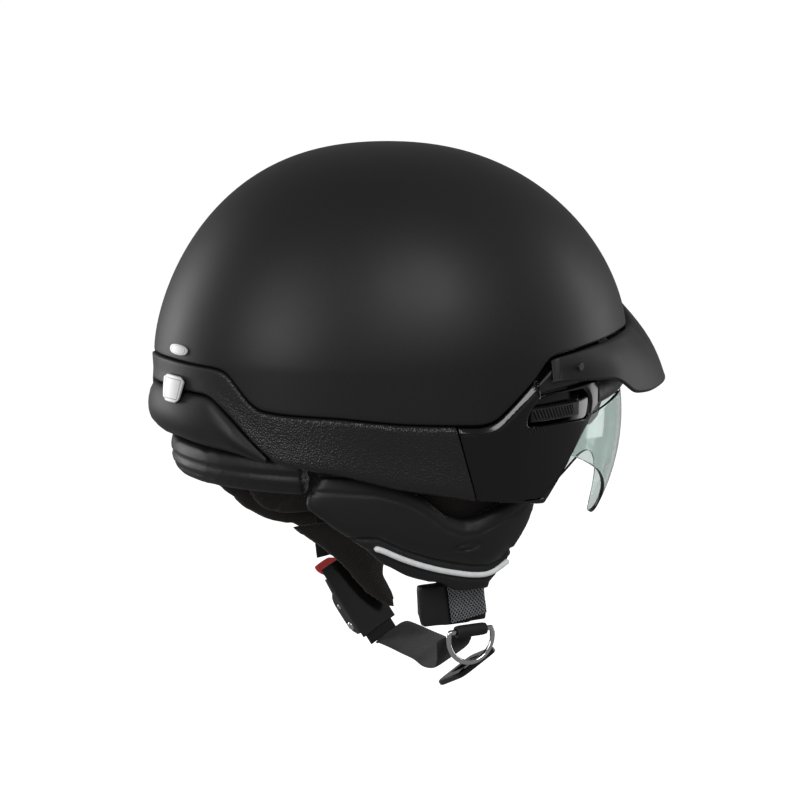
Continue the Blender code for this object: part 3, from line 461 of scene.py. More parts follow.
def rounded(outline, radius, rounds=3):
    """Outline with its corners cut back again and again, which rounds them."""
    points = np.asarray(outline, float)
    for step in range(rounds):
        ahead = np.roll(points, -1, axis=0) - points
        length = np.linalg.norm(ahead, axis=1, keepdims=True)
        cut = np.minimum(0.28 * length, radius / (step + 1)) / length
        points = np.stack([points + ahead * cut, points + ahead * (1 - cut)], axis=1).reshape(-1, 2)
    return points


def closed_slab(name, outer, inner, body, stands_for=()):
    """A ring-shaped solid: an outer and an inner grid whose columns close on themselves, joined
    along their first and last rows."""
    rows, cols = outer.shape[:2]
    loop = np.concatenate([outer, inner[::-1]])
    index = np.arange(loop.shape[0] * cols).reshape(-1, cols)
    ahead = np.roll(index, -1, axis=1)
    low, low_next = index, ahead
    high, high_next = np.roll(index, -1, axis=0), np.roll(ahead, -1, axis=0)
    faces = np.stack([low, low_next, high_next, high], axis=-1).reshape(-1, 4)
    mesh = bpy.data.meshes.new(name)
    mesh.from_pydata(loop.reshape(-1, 3).tolist(), [], faces.tolist())
    mesh.update()
    corners = loop.reshape(-1, 3)[faces]
    normal = np.cross(corners[:, 2] - corners[:, 0], corners[:, 3] - corners[:, 1])
    if (normal * corners.mean(axis=1)).sum() < 0:
        mesh.flip_normals()
    mesh.shade_smooth()
    return piece(name, mesh, body, stands_for)


gloss = finish_material("gloss black plastic", (0.0025, 0.0025, 0.0027), 0.14, specular=0.45, coat=0.25,
                        coat_rough=0.10)
gloss_shader = gloss.node_tree.nodes["Principled BSDF"]
gloss.node_tree.links.new(spread(gloss, noise(gloss, 60, 5), 0.12, 0.20), gloss_shader.inputs["Roughness"])
bump(gloss, noise(gloss, 90, 2), 0.00005, 0.25)
satin = finish_material("satin black plastic", (0.014, 0.014, 0.0145), 0.40, specular=0.45)
satin.node_tree.links.new(spread(satin, noise(satin, 200, 4), 0.34, 0.46),
                          satin.node_tree.nodes["Principled BSDF"].inputs["Roughness"])
bump(satin, noise(satin, 1800, 2), 0.00004, 0.4)

front = np.linspace(57.0, 99.9, 60)
panel_edge = np.concatenate([
    np.stack([front, np.interp(front, *np.array(PANEL_LOW).T)], axis=-1),
    np.stack([front[::-1], panel_high(front[::-1])], axis=-1)]) * (DEGREE, 1)
panel_edge = rounded(panel_edge, 0.0004, 1)
window_edge = rounded(np.array(WINDOW) * (DEGREE, 1), 0.0016)
COUNT = 420
ring_in = around(window_edge, COUNT)


def height_in_panel(a, v):
    """Height at angle a and share v of the way up: a smooth top line, and close to the top edge,
    where v to the eighth power counts, the real one with its step behind the brow frame."""
    low = np.interp(a, *np.array(PANEL_LOW).T)
    marks = np.array([57.0, 74.0, 86.0, 100.0])
    smooth = np.interp(a, marks, panel_high(marks))
    return low + (smooth - low) * v + (panel_high(a) - smooth) * v ** 8


def unit_square(flat):
    """Panel point to (share of the length, share of the height), found by halving."""
    a = flat[:, 0] / DEGREE
    under, over = np.zeros(len(a)), np.ones(len(a))
    for _ in range(40):
        half = (under + over) / 2
        below = height_in_panel(a, half) < flat[:, 1]
        under, over = np.where(below, half, under), np.where(below, over, half)
    return np.stack([(a - 57.0) / 42.9, (under + over) / 2], axis=-1)


inner_square = unit_square(ring_in)
u, v = inner_square.T
if (u * np.roll(v, -1) - v * np.roll(u, -1)).sum() < 0:
    inner_square = inner_square[::-1]
u, v = inner_square.T
corners_at = np.array([np.argmin(u + v), np.argmax(u - v), np.argmax(u + v), np.argmax(v - u)])
inner_square = np.roll(inner_square, -corners_at[0], axis=0)
stops = np.append((corners_at - corners_at[0]) % COUNT, COUNT)
outer_square = np.stack([np.interp(np.arange(COUNT), stops, [0, 1, 1, 0, 0]),
                         np.interp(np.arange(COUNT), stops, [0, 0, 1, 1, 0])], axis=-1)
share = np.array([0, .008, .02, .04, .07, .11, .15, .2, .25, .3, .35, .4, .45, .5, .55, .6, .65, .7, .74, .78,
                  .82, .85, .88, .905, .93, .95, .965, .98, .99, .996, 1])
square = inner_square + (outer_square - inner_square) * share[:, None, None]
angle = 57.0 + 42.9 * square[..., 0]
height = height_in_panel(angle, square[..., 1])
flat = np.stack([angle * DEGREE, height], axis=-1)
from_edge = outline_distance(flat, panel_edge)
from_window = outline_distance(flat, window_edge)
from_seam = np.where(angle > 78.5, seam(angle) - 0.0010 - height, 1.0)
slope = np.gradient(seam(front), front * DEGREE)
from_seam = from_seam / np.sqrt(1 + np.interp(angle, front, slope) ** 2)
roll = np.interp(from_edge, [0, .0003, .0007, .0013], [-.0014, -.0005, -.0001, 0])
roll += np.interp(from_window, [0, .0003, .0007, .0012], [-.0013, -.0004, -.0001, 0])
rib = np.interp(from_seam, [0, .0004, .0030, .0034, .0040, .0050], [-.0010, .0000, .0016, .0015, .0004, 0])
lift = 0.0003 + roll * np.where(from_seam < .004, 0.6, 1) + rib
for side, tag in ((-1, "right"), (1, "left")):
    outside = skin(-side * angle, height, lift)
    inside = skin(-side * angle, height, np.minimum(lift - 0.0004, -0.0017))
    panel = closed_slab("gloss_panel_" + tag, outside, inside, "helmet", ["side_panel_" + tag])
    panel.data.materials.append(gloss)


# ================================================================ visor slider and its track
# The track plate sits behind the window. The slider is a satin button with slanted grip ribs
# that runs along the plate and lifts the visor through a cable.
def bent_block(name, angles, heights, top, depth, body, stands_for, side):
    """A block on the skin: its face is skin moved out by top, which is an array over the grid,
    and its sides run in by depth."""
    A, H = np.meshgrid(angles, heights)
    grid = skin(-side * A, H, top)
    ring_low = skin(-side * A, H, np.full(A.shape, depth))
    obj = surface(name, grid, body, stands_for)
    mesh = obj.data
    rim = np.concatenate([np.arange(A.shape[1]), A.shape[1] * np.arange(1, A.shape[0]) + A.shape[1] - 1,
                          A.shape[1] * (A.shape[0] - 1) + np.arange(A.shape[1] - 2, -1, -1),
                          A.shape[1] * np.arange(A.shape[0] - 2, 0, -1)])
    points = np.vstack([grid.reshape(-1, 3), ring_low.reshape(-1, 3)[rim]])
    faces = [tuple(f.vertices) for f in mesh.polygons]
    base = A.size + np.arange(len(rim))
    walls = np.stack([rim, np.roll(rim, -1), np.roll(base, -1), base], axis=-1)
    mesh.clear_geometry()
    mesh.from_pydata(points.tolist(), [], faces + walls.tolist() + [base[::-1].tolist()])
    mesh.update()
    mend_normals(mesh)
    mesh.shade_smooth()
    mesh.set_sharp_from_angle(angle=radians(40))
    return obj


def mend_normals(mesh):
    """Make all faces of a closed mesh point outwards."""
    work = bmesh.new()
    work.from_mesh(mesh)
    bmesh.ops.remove_doubles(work, verts=work.verts, dist=1e-7)
    bmesh.ops.recalc_face_normals(work, faces=work.faces)
    work.to_mesh(mesh)
    work.free()


for side, tag in ((-1, "right"), (1, "left")):
    A, S = np.meshgrid(np.linspace(46.0, 90.0, 90), np.linspace(0, 1, 30))
    plate_low = np.interp(A, [46.0, 50.0, 54.0], [-0.0300, -0.0370, -0.0400])
    H = plate_low + (-0.0145 - plate_low) * S
    notch = -0.0012 * np.exp(-((A - 76) / 5.5) ** 2 - ((H + 0.0185) / 0.0022) ** 2)
    track = surface("slider_plate_" + tag, skin(-side * A, H, -0.0076 + notch), "helmet",
                    ["slider_track_" + tag])
    thicken(track, 0.0009, 0.0002)
    track.data.materials.append(gloss)
    turn, rise = np.linspace(63.6, 80.2, 160), np.linspace(-0.0318, -0.0240, 30)
    A, H = np.meshgrid(turn, rise)
    flat = np.stack([A * DEGREE, H], axis=-1)
    rim = np.array([(63.6 * DEGREE, -.0318), (80.2 * DEGREE, -.0318), (80.2 * DEGREE, -.0240),
                    (63.6 * DEGREE, -.0240)])
    edge = outline_distance(flat, rim)
    phase = (A * DEGREE - 0.45 * H) / 0.0021
    ribs = np.clip(1.6 * np.cos(2 * pi * phase), -1, 1) * 0.5 + 0.5
    inset = np.clip((edge - 0.0011) / 0.0005, 0, 1)
    ends = np.clip((A - 65.8) / 0.5, 0, 1)
    top = -0.0026 - 0.0010 * (1 - np.clip(edge / 0.0006, 0, 1)) ** 2 + inset * ends * (ribs * 0.0010 - 0.0006)
    lever = bent_block("slider_button_" + tag, turn, rise, top, -0.0055, "lever_" + tag,
                       ["visor_lever_" + tag], side)
    lever.data.materials.append(satin)
    turn, rise = np.linspace(77.2, 82.4, 70), np.linspace(-0.0362, -0.0344, 9)
    marks = []
    for i in range(6):
        bar = np.linspace(77.4 + 0.86 * i, 77.75 + 0.86 * i, 4)
        B, H = np.meshgrid(bar, rise)
        H = H + (0.0003 * i if i % 2 == 0 else 0)
        marks.append((B + (H + 0.0353) * 160, H))
    grids = [skin(-side * b, h, 0.0006) for b, h in marks]
    bars = surface("panel_ticks_" + tag, np.concatenate([grids[0]], axis=0), "helmet", [])
    mesh_points = np.concatenate([g.reshape(-1, 3) for g in grids])
    block = [tuple(int(v) + 36 * i for v in f.vertices) for i in range(6) for f in bars.data.polygons]
    bars.data.clear_geometry()
    bars.data.from_pydata(mesh_points.tolist(), [], block)
    bars.data.update()
    thicken(bars, 0.0006)
    bars.data.materials.append(satin)


# ================================================================ brow frame
# A satin frame closes the gap between the shell's front edge and the visor, from one side
# panel to the other. It is screwed to the shell from inside.
turn = np.unique(np.concatenate([np.linspace(-79, 79, 220), [-56.61, -56.19, 56.19, 56.61]]))
brow_top = np.interp(fold(turn), [0, 14, 22, 27, 62, 74, 79],
                     [.0145, .0140, .0090, .0025, .0005, -.003, -.0115])
share = np.array([0, .03, .08, .16, .4, .7, 1])[:, None]
height = brow_low(turn) + (brow_top - brow_low(turn)) * share
edge = np.interp(share, [0, .03, .08, .16, 1], [-.0018, -.0010, -.0005, -.0003, -.0004])
brow = surface("brow_frame_shell", skin(turn, height, edge), "helmet", ["brow_frame"])
thicken(brow, 0.0020)
brow.data.materials.append(satin)


# ================================================================ peak
# A short peak moulded in one piece with the side strakes, painted matt black and held by one
# screw at each temple. Its front turns down to a thin rolled lip.
PEAK_LIP = [(-0.1115, -0.0310, -0.0103, 75.2), (-0.1087, -0.0600, -0.0118, 63.0),
            (-0.1036, -0.0790, -0.0129, 54.0), (-0.1010, -0.0860, -0.0167, 50.5),
            (-0.0972, -0.0945, -0.0233, 46.0), (-0.0870, -0.1120, -0.0250, 37.5),
            (-0.0754, -0.1265, -0.0246, 30.0), (-0.0620, -0.1388, -0.0248, 23.0),
            (-0.0480, -0.1480, -0.0250, 17.5), (-0.0240, -0.1575, -0.0250, 8.5),
            (0.0, -0.1606, -0.0250, 0.0)]


def smooth_run(values, fine, blur):
    """Values read at even steps, run through a Gaussian mean of blur steps, ends held."""
    held = np.concatenate([np.full(60, values[0]), values, np.full(60, values[-1])])
    taps = np.exp(-0.5 * (np.arange(-60, 61) / blur) ** 2)
    return np.convolve(held, taps / taps.sum(), mode="same")[60:-60]


lip = np.array(PEAK_LIP)
mirrored = lip[::-1][1:] * (-1, 1, 1, -1)
lip = np.vstack([lip, mirrored])
step = np.concatenate([[0], np.cumsum(np.linalg.norm(np.diff(lip[:, :3], axis=0), axis=1))])
fine = np.linspace(0, step[-1], 520)
lip_line = np.stack([np.interp(fine, step, lip[:, i]) for i in range(4)], axis=-1)
for i in range(4):
    run = lip_line[:, i]
    drift = np.linspace(run[0], run[-1], len(run))
    lip_line[:, i] = drift + smooth_run(run - drift, fine, 6 if i == 2 else 12)
A = lip_line[:, 3]
top = skin(A, seam(A) - 0.0009, 0.0012)
drop = np.array([0, .01, .025, .05, .1, .2, .3, .4, .5, .6, .7, .8, .88, .93, .96, .98, .992, 1])[:, None]
hump = 0.0028 * np.sin(pi * drop) * np.interp(fold(A), [0, 40, 76], [1.3, 1.0, 0.0])
crown = np.interp(drop, [0, .01, .025, .05, 1], [-.0012, -.0003, .0003, .0006, .0006])
lip_roll = np.interp(drop, [0, .93, .96, .98, .992, 1], [0, 0, .0001, -.0001, -.0006, -.0013])
end_gap = (fine - fine[0]) * (fine < step[-1] / 2) + (fine[-1] - fine) * (fine >= step[-1] / 2)
chamfer = np.interp(end_gap, [0, .0006, .0042, .0048], [-.0024, -.0016, .0002, 0])
outward = np.stack([-np.sin(np.radians(A)), -np.cos(np.radians(A)), 0.35 + 0 * A], axis=-1)
grid = top + (lip_line[:, :3] - top) * drop[..., None]
grid = grid + outward * (hump + crown + lip_roll + chamfer)[..., None]
peak = surface("peak_moulding", grid, "helmet", ["peak"], inside=(0, -0.05, -0.03))
thicken(peak, 0.0014, 0.0002)
peak.data.materials.append(matt_paint)
for name in ("peak_screw_right", "peak_screw_left"):
    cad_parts[name].data.materials.clear()
    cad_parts[name].data.materials.append(satin)


# ================================================================ sun visor
# The drop-down visor is injection moulded polycarbonate, tinted smoke grey, 2 mm thick. It is
# a bowl turned about the pivot axis, with a cutout for the nose, and its arms end in hubs.
VISOR_Y, VISOR_Z = -0.024, -0.043
VISOR_X, VISOR_REACH = 0.103, 0.1345
LENS_LOW = [(0, -15.5), (0.009, -17.5), (0.016, -24.0), (0.022, -31.0), (0.028, -34.5), (0.036, -34.8),
            (0.045, -33.5), (0.055, -29.0), (0.075, -22.0), (0.092, -19.0), (0.1010, -17.0)]
half = VISOR_X * np.sin(np.linspace(0, np.arcsin(0.0998 / VISOR_X), 120))
x = np.concatenate([-half[::-1], half[1:]])
reach = VISOR_REACH * np.sqrt(1 - (x / VISOR_X) ** 2) + VISOR_Y
low = np.interp(np.abs(x), *np.array(LENS_LOW).T)
low = smooth_run(low, x, 3)
share = np.linspace(0, 1, 40)[:, None]
tilt = np.radians(low + (9.0 - low) * share)
grid = np.stack([x + 0 * tilt, VISOR_Y - reach * np.cos(tilt), VISOR_Z + reach * np.sin(tilt)], axis=-1)
lens = surface("smoke_visor", grid, "visor", ["sun_visor"], inside=(0, VISOR_Y, VISOR_Z))
thicken(lens, 0.0019, 0.0005, 2)
smoke = finish_material("smoke polycarbonate", (0.53, 0.60, 0.575), 0.02, specular=0.5)
smoke_shader = smoke.node_tree.nodes["Principled BSDF"]
smoke_shader.inputs["Transmission Weight"].default_value = 1.0
smoke_shader.inputs["IOR"].default_value = 1.30
smoke.node_tree.links.new(spread(smoke, noise(smoke, 40, 3), 0.015, 0.03), smoke_shader.inputs["Roughness"])
bump(smoke, noise(smoke, 30, 1), 0.00004, 0.2)
lens.data.materials.append(smoke)

steel = finish_material("brushed steel", (0.50, 0.50, 0.51), 0.32, metallic=1.0)
steel.node_tree.links.new(spread(steel, noise(steel, 700, 4), 0.25, 0.42),
                          steel.node_tree.nodes["Principled BSDF"].inputs["Roughness"])
bump(steel, noise(steel, 1400, 2), 0.00003, 0.5)


def refinish(names, mat):
    """Give CAD nodes that stay as they are a finished material."""
    for name in names:
        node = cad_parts[name]
        node.data.materials.clear()
        node.data.materials.append(mat)


refinish(["visor_hub_right", "visor_hub_left"], satin)
refinish(["pivot_bracket_right", "pivot_bracket_left", "pivot_screw_right", "pivot_screw_left",
          "strap_anchor_right", "strap_anchor_left", "buckle_pin"], steel)


# ================================================================ foam liner
# Black expanded polystyrene, glued into the shell. Its front is set back to leave a pocket
# for the lifted visor, and its lower edge is chamfered where the lining is tucked in.
HEAD_X, HEAD_Y, HEAD_Z, HEAD_BACK = 0.077, 0.097, 0.082, 0.010


def head(angle, tilt, grow):
    """Point of the head space, an ellipsoid grown by grow, at angle round and tilt up in degrees."""
    a, e, grow = np.broadcast_arrays(np.radians(angle), np.radians(tilt), grow)
    return np.stack([-(HEAD_X + grow) * np.cos(e) * np.sin(a),
                     HEAD_BACK - (HEAD_Y + grow) * np.cos(e) * np.cos(a), (HEAD_Z + grow) * np.sin(e)],
                     axis=-1)


def wall(angle, z, grow):
    """Point of the upright wall under the ellipsoid: the same ellipse in plan at every height."""
    a, z, grow = np.broadcast_arrays(np.radians(angle), z, grow)
    return np.stack([-(HEAD_X + grow) * np.sin(a), HEAD_BACK - (HEAD_Y + grow) * np.cos(a), z], axis=-1)


def blocked(p):
    """True for points that the lifted visor or the shell needs: outside the shell's plan at that
    height, or, in front, nearer to the pivot axis than the lens less its air."""
    out = np.hypot(p[..., 0] / (SHELL_X - 0.0075), (p[..., 1] - lean(p[..., 2])) / (SHELL_Y - 0.0075))
    full = out > plan_scale(p[..., 2], -0.0045)
    wide = np.abs(p[..., 0]) + 0.0014
    radius = VISOR_REACH * np.sqrt(np.clip(1 - (wide / VISOR_X) ** 2, 0, 1)) + VISOR_Y
    swept = np.hypot(p[..., 1] - VISOR_Y, p[..., 2] - VISOR_Z) > radius - 0.0060
    return full, swept | (wide > 0.0985)


turn = np.arange(-180, 180, 3.0)
foam_low = np.interp(fold(turn), [0, 50, 72, 110, 140, 180], [-.012, -.016, -.034, -.034, -.038, -.038])
tilts = np.concatenate([np.linspace(0, 40, 15), np.linspace(45, 86, 9)])
outer_rows, inner_rows = [], []
for share in (1.0, 0.8, 0.55, 0.3):
    z = foam_low * share
    near, far = wall(turn, z, 0.0072), skin(turn, z, -0.0075)
    steps = np.linspace(0, 1, 61)[:, None, None]
    tried = near + (far - near) * steps
    stop = blocked(tried)[1] & (fold(turn) < 93)
    last = np.where(stop.any(axis=0), np.clip(stop.argmax(axis=0) - 1, 0, 60), 60)
    outer_rows.append(near + (far - near) * (last / 60.0)[:, None])
    inner_rows.append(wall(turn, z, 0.0060))
for tilt in tilts:
    near = head(turn, tilt, 0.0072)
    reach = np.linalg.norm(near, axis=-1, keepdims=True)
    steps = np.arange(0, 0.07, 0.0005)[:, None, None]
    tried = near / reach * (reach + steps)
    full, swept = blocked(tried)
    stop = full | (swept & (fold(turn) < 93) & (tilt < 30))
    last = np.clip(stop.argmax(axis=0) - 1, 0, None)
    outer_rows.append(near / reach * (reach + last[:, None] * 0.0005))
    inner_rows.append(head(turn, tilt, 0.0060))
outer_rows, inner_rows = np.array(outer_rows), np.array(inner_rows)
body_rows = np.concatenate([inner_rows[::-1], inner_rows[:1] * 0.5 + outer_rows[:1] * 0.5, outer_rows])
foam = surface("foam_liner", body_rows, "helmet", ["impact_liner"], ring=True)
last_ring = (len(body_rows) - 1) * len(turn)
flat_caps = [tuple(range(len(turn))), tuple(range(last_ring, last_ring + len(turn)))]
foam_faces = [tuple(f.vertices) for f in foam.data.polygons] + flat_caps
foam_points = body_rows.reshape(-1, 3).tolist()
foam.data.clear_geometry()
foam.data.from_pydata(foam_points, [], foam_faces)
foam.data.update()
mend_normals(foam.data)
foam.data.shade_smooth()
beads = finish_material("black foam", (0.016, 0.016, 0.017), 0.85, specular=0.25)
cells = beads.node_tree.nodes.new("ShaderNodeTexVoronoi")
cells.inputs["Scale"].default_value = 330
place = beads.node_tree.nodes.new("ShaderNodeTexCoord")
beads.node_tree.links.new(place.outputs["Object"], cells.inputs["Vector"])
bump(beads, cells.outputs["Distance"], 0.0004, 0.7)
blend_colour(beads, spread(beads, cells.outputs["Distance"], 0, 1, 0.0, 0.6), (0.022, 0.022, 0.023),
             (0.008, 0.008, 0.008))
foam.data.materials.append(beads)


# ================================================================ comfort lining
# Removable pads of knitted fabric laminated to soft foam: a crown pad with channels sewn
# across it, a head band round the brow and nape, and a pad behind each ear.
def closed_shell(name, outer, inner, ring=False):
    """Mesh between an outer and an inner grid, joined round all open edges."""
    rows, cols = outer.shape[:2]
    points = np.concatenate([outer.reshape(-1, 3), inner.reshape(-1, 3)])
    index = np.arange(rows * cols).reshape(rows, cols)
    if ring:
        index = np.concatenate([index, index[:, :1]], axis=1)
    quads = np.stack([index[:-1, :-1], index[:-1, 1:], index[1:, 1:], index[1:, :-1]], axis=-1).reshape(-1, 4)
    size = rows * cols
    faces = [quads, quads[:, ::-1] + size]
    edges = [index[0], index[-1][::-1]] + ([] if ring else [index[::-1, 0], index[:, -1]])
    for run in edges:
        faces.append(np.stack([run[1:], run[:-1], run[:-1] + size, run[1:] + size], axis=-1))
    mesh = bpy.data.meshes.new(name)
    mesh.from_pydata(points.tolist(), [], np.concatenate(faces).tolist())
    mesh.update()
    mend_normals(mesh)
    return mesh


def stuffed(name, mesh, voxel, swell, pressure, frames=14, levels=1):
    """A sewn pad: the closed mesh is remeshed, blown up as cloth and held within swell of where
    it began, then subdivided."""
    obj = bpy.data.objects.new(name, mesh)
    bpy.context.scene.collection.objects.link(obj)
    bpy.context.view_layer.objects.active = obj
    grid = obj.modifiers.new("even cloth", "REMESH")
    grid.mode = "VOXEL"
    grid.voxel_size = voxel
    bpy.context.view_layer.update()
    even = bpy.data.meshes.new_from_object(obj.evaluated_get(bpy.context.evaluated_depsgraph_get()))
    obj.modifiers.clear()
    obj.data = even
    start = np.array([v.co for v in even.vertices])
    cloth = obj.modifiers.new("cloth", "CLOTH")
    cloth.settings.quality = 4
    cloth.settings.use_pressure = True
    cloth.settings.uniform_pressure_force = pressure
    cloth.settings.tension_stiffness = 10
    cloth.settings.compression_stiffness = 10
    cloth.settings.bending_stiffness = 0.3
    cloth.settings.effector_weights.gravity = 0
    cloth.collision_settings.use_collision = False
    for f in range(1, frames + 1):
        bpy.context.scene.frame_set(f)
    blown = bpy.data.meshes.new_from_object(obj.evaluated_get(bpy.context.evaluated_depsgraph_get()))
    obj.modifiers.clear()
    bpy.context.scene.frame_set(1)
    end = np.array([v.co for v in blown.vertices])
    move = end - start
    length = np.linalg.norm(move, axis=1, keepdims=True)
    move *= np.minimum(1, swell / np.maximum(length, 1e-9))
    blown.vertices.foreach_set("co", (start + move).ravel())
    obj.data = blown
    if levels:
        fine = obj.modifiers.new("finer", "SUBSURF")
        fine.levels = fine.render_levels = levels
        evaluated_graph = bpy.context.evaluated_depsgraph_get()
        smooth_mesh = bpy.data.meshes.new_from_object(obj.evaluated_get(evaluated_graph))
        obj.modifiers.clear()
        obj.data = smooth_mesh
    obj.data.name = name
    obj.data.shade_smooth()
    return obj


def sew(obj, depth):
    """Move each point in along its normal by depth, an array of metres."""
    count = len(obj.data.vertices)
    co, no = np.empty(count * 3), np.empty(count * 3)
    obj.data.vertices.foreach_get("co", co)
    obj.data.vertices.foreach_get("normal", no)
    moved = co.reshape(-1, 3) - no.reshape(-1, 3) * np.asarray(depth)[:, None]
    obj.data.vertices.foreach_set("co", moved.ravel())
    obj.data.update()


def points_of(obj):
    co = np.empty(len(obj.data.vertices) * 3)
    obj.data.vertices.foreach_get("co", co)
    return co.reshape(-1, 3)


def declare(obj, body, stands_for, mat):
    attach(obj, body)
    if stands_for:
        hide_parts(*stands_for)
    obj.data.materials.clear()
    obj.data.materials.append(mat)


knit = finish_material("ribbed knit", (0.042, 0.036, 0.033), 0.95, specular=0.15, sheen=0.25)
place = knit.node_tree.nodes.new("ShaderNodeTexCoord")
turned = knit.node_tree.nodes.new("ShaderNodeMapping")
turned.inputs["Rotation"].default_value = (radians(35), 0, radians(20))
wale = knit.node_tree.nodes.new("ShaderNodeTexWave")
wale.wave_type = "BANDS"
wale.bands_direction = "Z"
wale.inputs["Scale"].default_value = 260
wale.inputs["Distortion"].default_value = 1.2
wale.inputs["Detail"].default_value = 2
knit.node_tree.links.new(place.outputs["Object"], turned.inputs["Vector"])
knit.node_tree.links.new(turned.outputs["Vector"], wale.inputs["Vector"])
bump(knit, wale.outputs["Fac"], 0.00022, 0.8)
bump(knit, noise(knit, 3000, 3), 0.00010, 0.6)
blend_colour(knit, spread(knit, wale.outputs["Fac"], 0, 1, 0.1, 0.9), (0.026, 0.022, 0.021),
             (0.062, 0.054, 0.050))

turn = np.arange(-180, 180, 5.0)
A, T = np.meshgrid(turn, np.linspace(31, 86, 12))
crown_mesh = closed_shell("crown_lining", head(A, T, 0.0048), head(A, T, 0.0004), ring=True)
crown_pad = stuffed("crown_lining", crown_mesh, 0.0024, 0.0008, 3)
co = points_of(crown_pad)
channels = np.abs((co[:, 0] + 0.012) % 0.024 - 0.012)
sew(crown_pad, 0.0012 * np.exp(-(channels / 0.0016) ** 2))
declare(crown_pad, "helmet", ["crown_pad"], knit)
A, T = np.meshgrid(turn, np.linspace(0, 29, 7))
B, H = np.meshgrid(turn, np.array([-0.0186, -0.013, -0.007]))
outer = np.concatenate([wall(B, H, 0.0048), head(A, T, 0.0048)])
inner = np.concatenate([wall(B, H, 0.0004), head(A, T, 0.0004)])
band = stuffed("brow_band", closed_shell("brow_band", outer, inner, ring=True), 0.0024, 0.0008, 3)
co = points_of(band)
seams = np.abs((np.degrees(np.arctan2(co[:, 0], co[:, 1] - HEAD_BACK)) + 15) % 30 - 15)
sew(band, 0.0012 * np.exp(-(seams / 1.1) ** 2))
declare(band, "helmet", ["head_band"], knit)


# ================================================================ ear curtains
# Each side has a padded curtain of black leather-look fabric. It is tucked up behind the
# trims, scooped over the ear, and hemmed with reflective piping over a narrow lower band.
def curtain_rear(z):
    return np.interp(z, [-0.118, -0.112, -0.1035, -0.093, -0.082, -0.072, -0.0655, -0.058],
                     [0.016, 0.034, 0.050, 0.063, 0.078, 0.089, 0.0870, 0.0820])


def curtain_front(z):
    return np.interp(z, [-0.118, -0.112, -0.098, -0.081, -0.070], [-0.008, -0.014, -0.021, -0.031, -0.034])


def curtain_x(y, z):
    """Distance of the curtain's face from the middle: an ellipse in plan that narrows downwards."""
    share = np.clip((z + 0.118) / 0.050, 0, 1)
    rear = np.sqrt(np.clip(1 - (np.clip(y, 0, None) / 0.132) ** 2, 0.05, 1))
    front = 1 - 0.7 * (np.clip(y, None, 0) / 0.135) ** 2
    return (0.0905 + 0.0095 * share) * rear * front


HEM = [(-0.0190, -0.1070), (-0.0135, -0.1118), (-0.0060, -0.1140), (0.0040, -0.1130), (0.0150, -0.1105),
       (0.0250, -0.1078), (0.0360, -0.1040), (0.0455, -0.1000), (0.0570, -0.0940)]


def hem(y):
    """Height of the piping along the curtain."""
    return np.interp(y, *np.array(HEM).T)


leather = finish_material("leather-look fabric", (0.0125, 0.0125, 0.0130), 0.46, specular=0.45)
hide = leather.node_tree.nodes.new("ShaderNodeTexVoronoi")
hide.feature = "DISTANCE_TO_EDGE"
hide.inputs["Scale"].default_value = 900
place = leather.node_tree.nodes.new("ShaderNodeTexCoord")
leather.node_tree.links.new(place.outputs["Object"], hide.inputs["Vector"])
bump(leather, hide.outputs["Distance"], 0.00012, 0.5)
bump(leather, noise(leather, 70, 4), 0.0008, 0.25)
leather.node_tree.links.new(spread(leather, noise(leather, 35, 4), 0.40, 0.54),
                            leather.node_tree.nodes["Principled BSDF"].inputs["Roughness"])
glow_painted_tape = finish_material("reflective tape with painted glow", (0.80, 0.81, 0.83), 0.42, specular=0.4)
# The emission paints a faint glow on the piping under any lamp: painted light that stands in for the light
# its reflective tape throws back.
glow_painted_tape.node_tree.nodes["Principled BSDF"].inputs["Emission Color"].default_value = (1, 1, 1, 1)
glow_painted_tape.node_tree.nodes["Principled BSDF"].inputs["Emission Strength"].default_value = 0.12
bump(glow_painted_tape, noise(glow_painted_tape, 2500, 2), 0.00005, 0.5)
blend_colour(glow_painted_tape, spread(glow_painted_tape, noise(glow_painted_tape, 300, 3), 0, 1), (0.70, 0.71, 0.73),
             (0.84, 0.85, 0.87))


def tube_along(name, path, radius, body, stands_for, sides=14, flat=1.0):
    """A closed round tube along a path of points, with rounded ends: rings stand across the path,
    and flat squeezes them along the second cross direction."""
    p = np.asarray(path, float)
    ahead = np.gradient(p, axis=0)
    ahead /= np.linalg.norm(ahead, axis=1, keepdims=True)
    first = np.cross(ahead, (0.0, 0.0, 1.0))
    first /= np.linalg.norm(first, axis=1, keepdims=True)
    second = np.cross(ahead, first)
    turn = np.linspace(0, 2 * pi, sides, endpoint=False)
    rounded_rows = 3
    from_end = np.minimum(np.arange(len(p)), np.arange(len(p))[::-1])
    size = np.minimum(1, np.sqrt(np.clip(1 - (1 - from_end / rounded_rows) ** 2, 0.05, 1)))
    size = np.where(from_end >= rounded_rows, 1, size)[:, None, None]
    ring = first[:, None] * np.cos(turn)[:, None] + flat * second[:, None] * np.sin(turn)[:, None]
    ring = ring * radius * size
    grid = p[:, None] + ring
    mesh = bpy.data.meshes.new(name)
    count, rows = sides, len(p)
    index = np.arange(rows * count).reshape(rows, count)
    ahead_i = np.roll(index, -1, axis=1)
    faces = np.stack([index[:-1], ahead_i[:-1], ahead_i[1:], index[1:]], axis=-1).reshape(-1, 4).tolist()
    faces += [index[0][::-1].tolist(), index[-1].tolist()]
    mesh.from_pydata(grid.reshape(-1, 3).tolist(), [], faces)
    mesh.update()
    mend_normals(mesh)
    mesh.shade_smooth()
    return piece(name, mesh, body, stands_for)


def scoop(y):
    """Upper edge of the leather over the ear: it dips to bare the fleecy inside."""
    return np.interp(y, [-0.034, -0.018, -0.004, 0.004, 0.012, 0.022, 0.034, 0.046, 0.060, 0.0805],
                     [-0.066, -0.0735, -0.0785, -0.0812, -0.0815, -0.0775, -0.0680, -0.0610, -0.0565,
                      -0.0550])


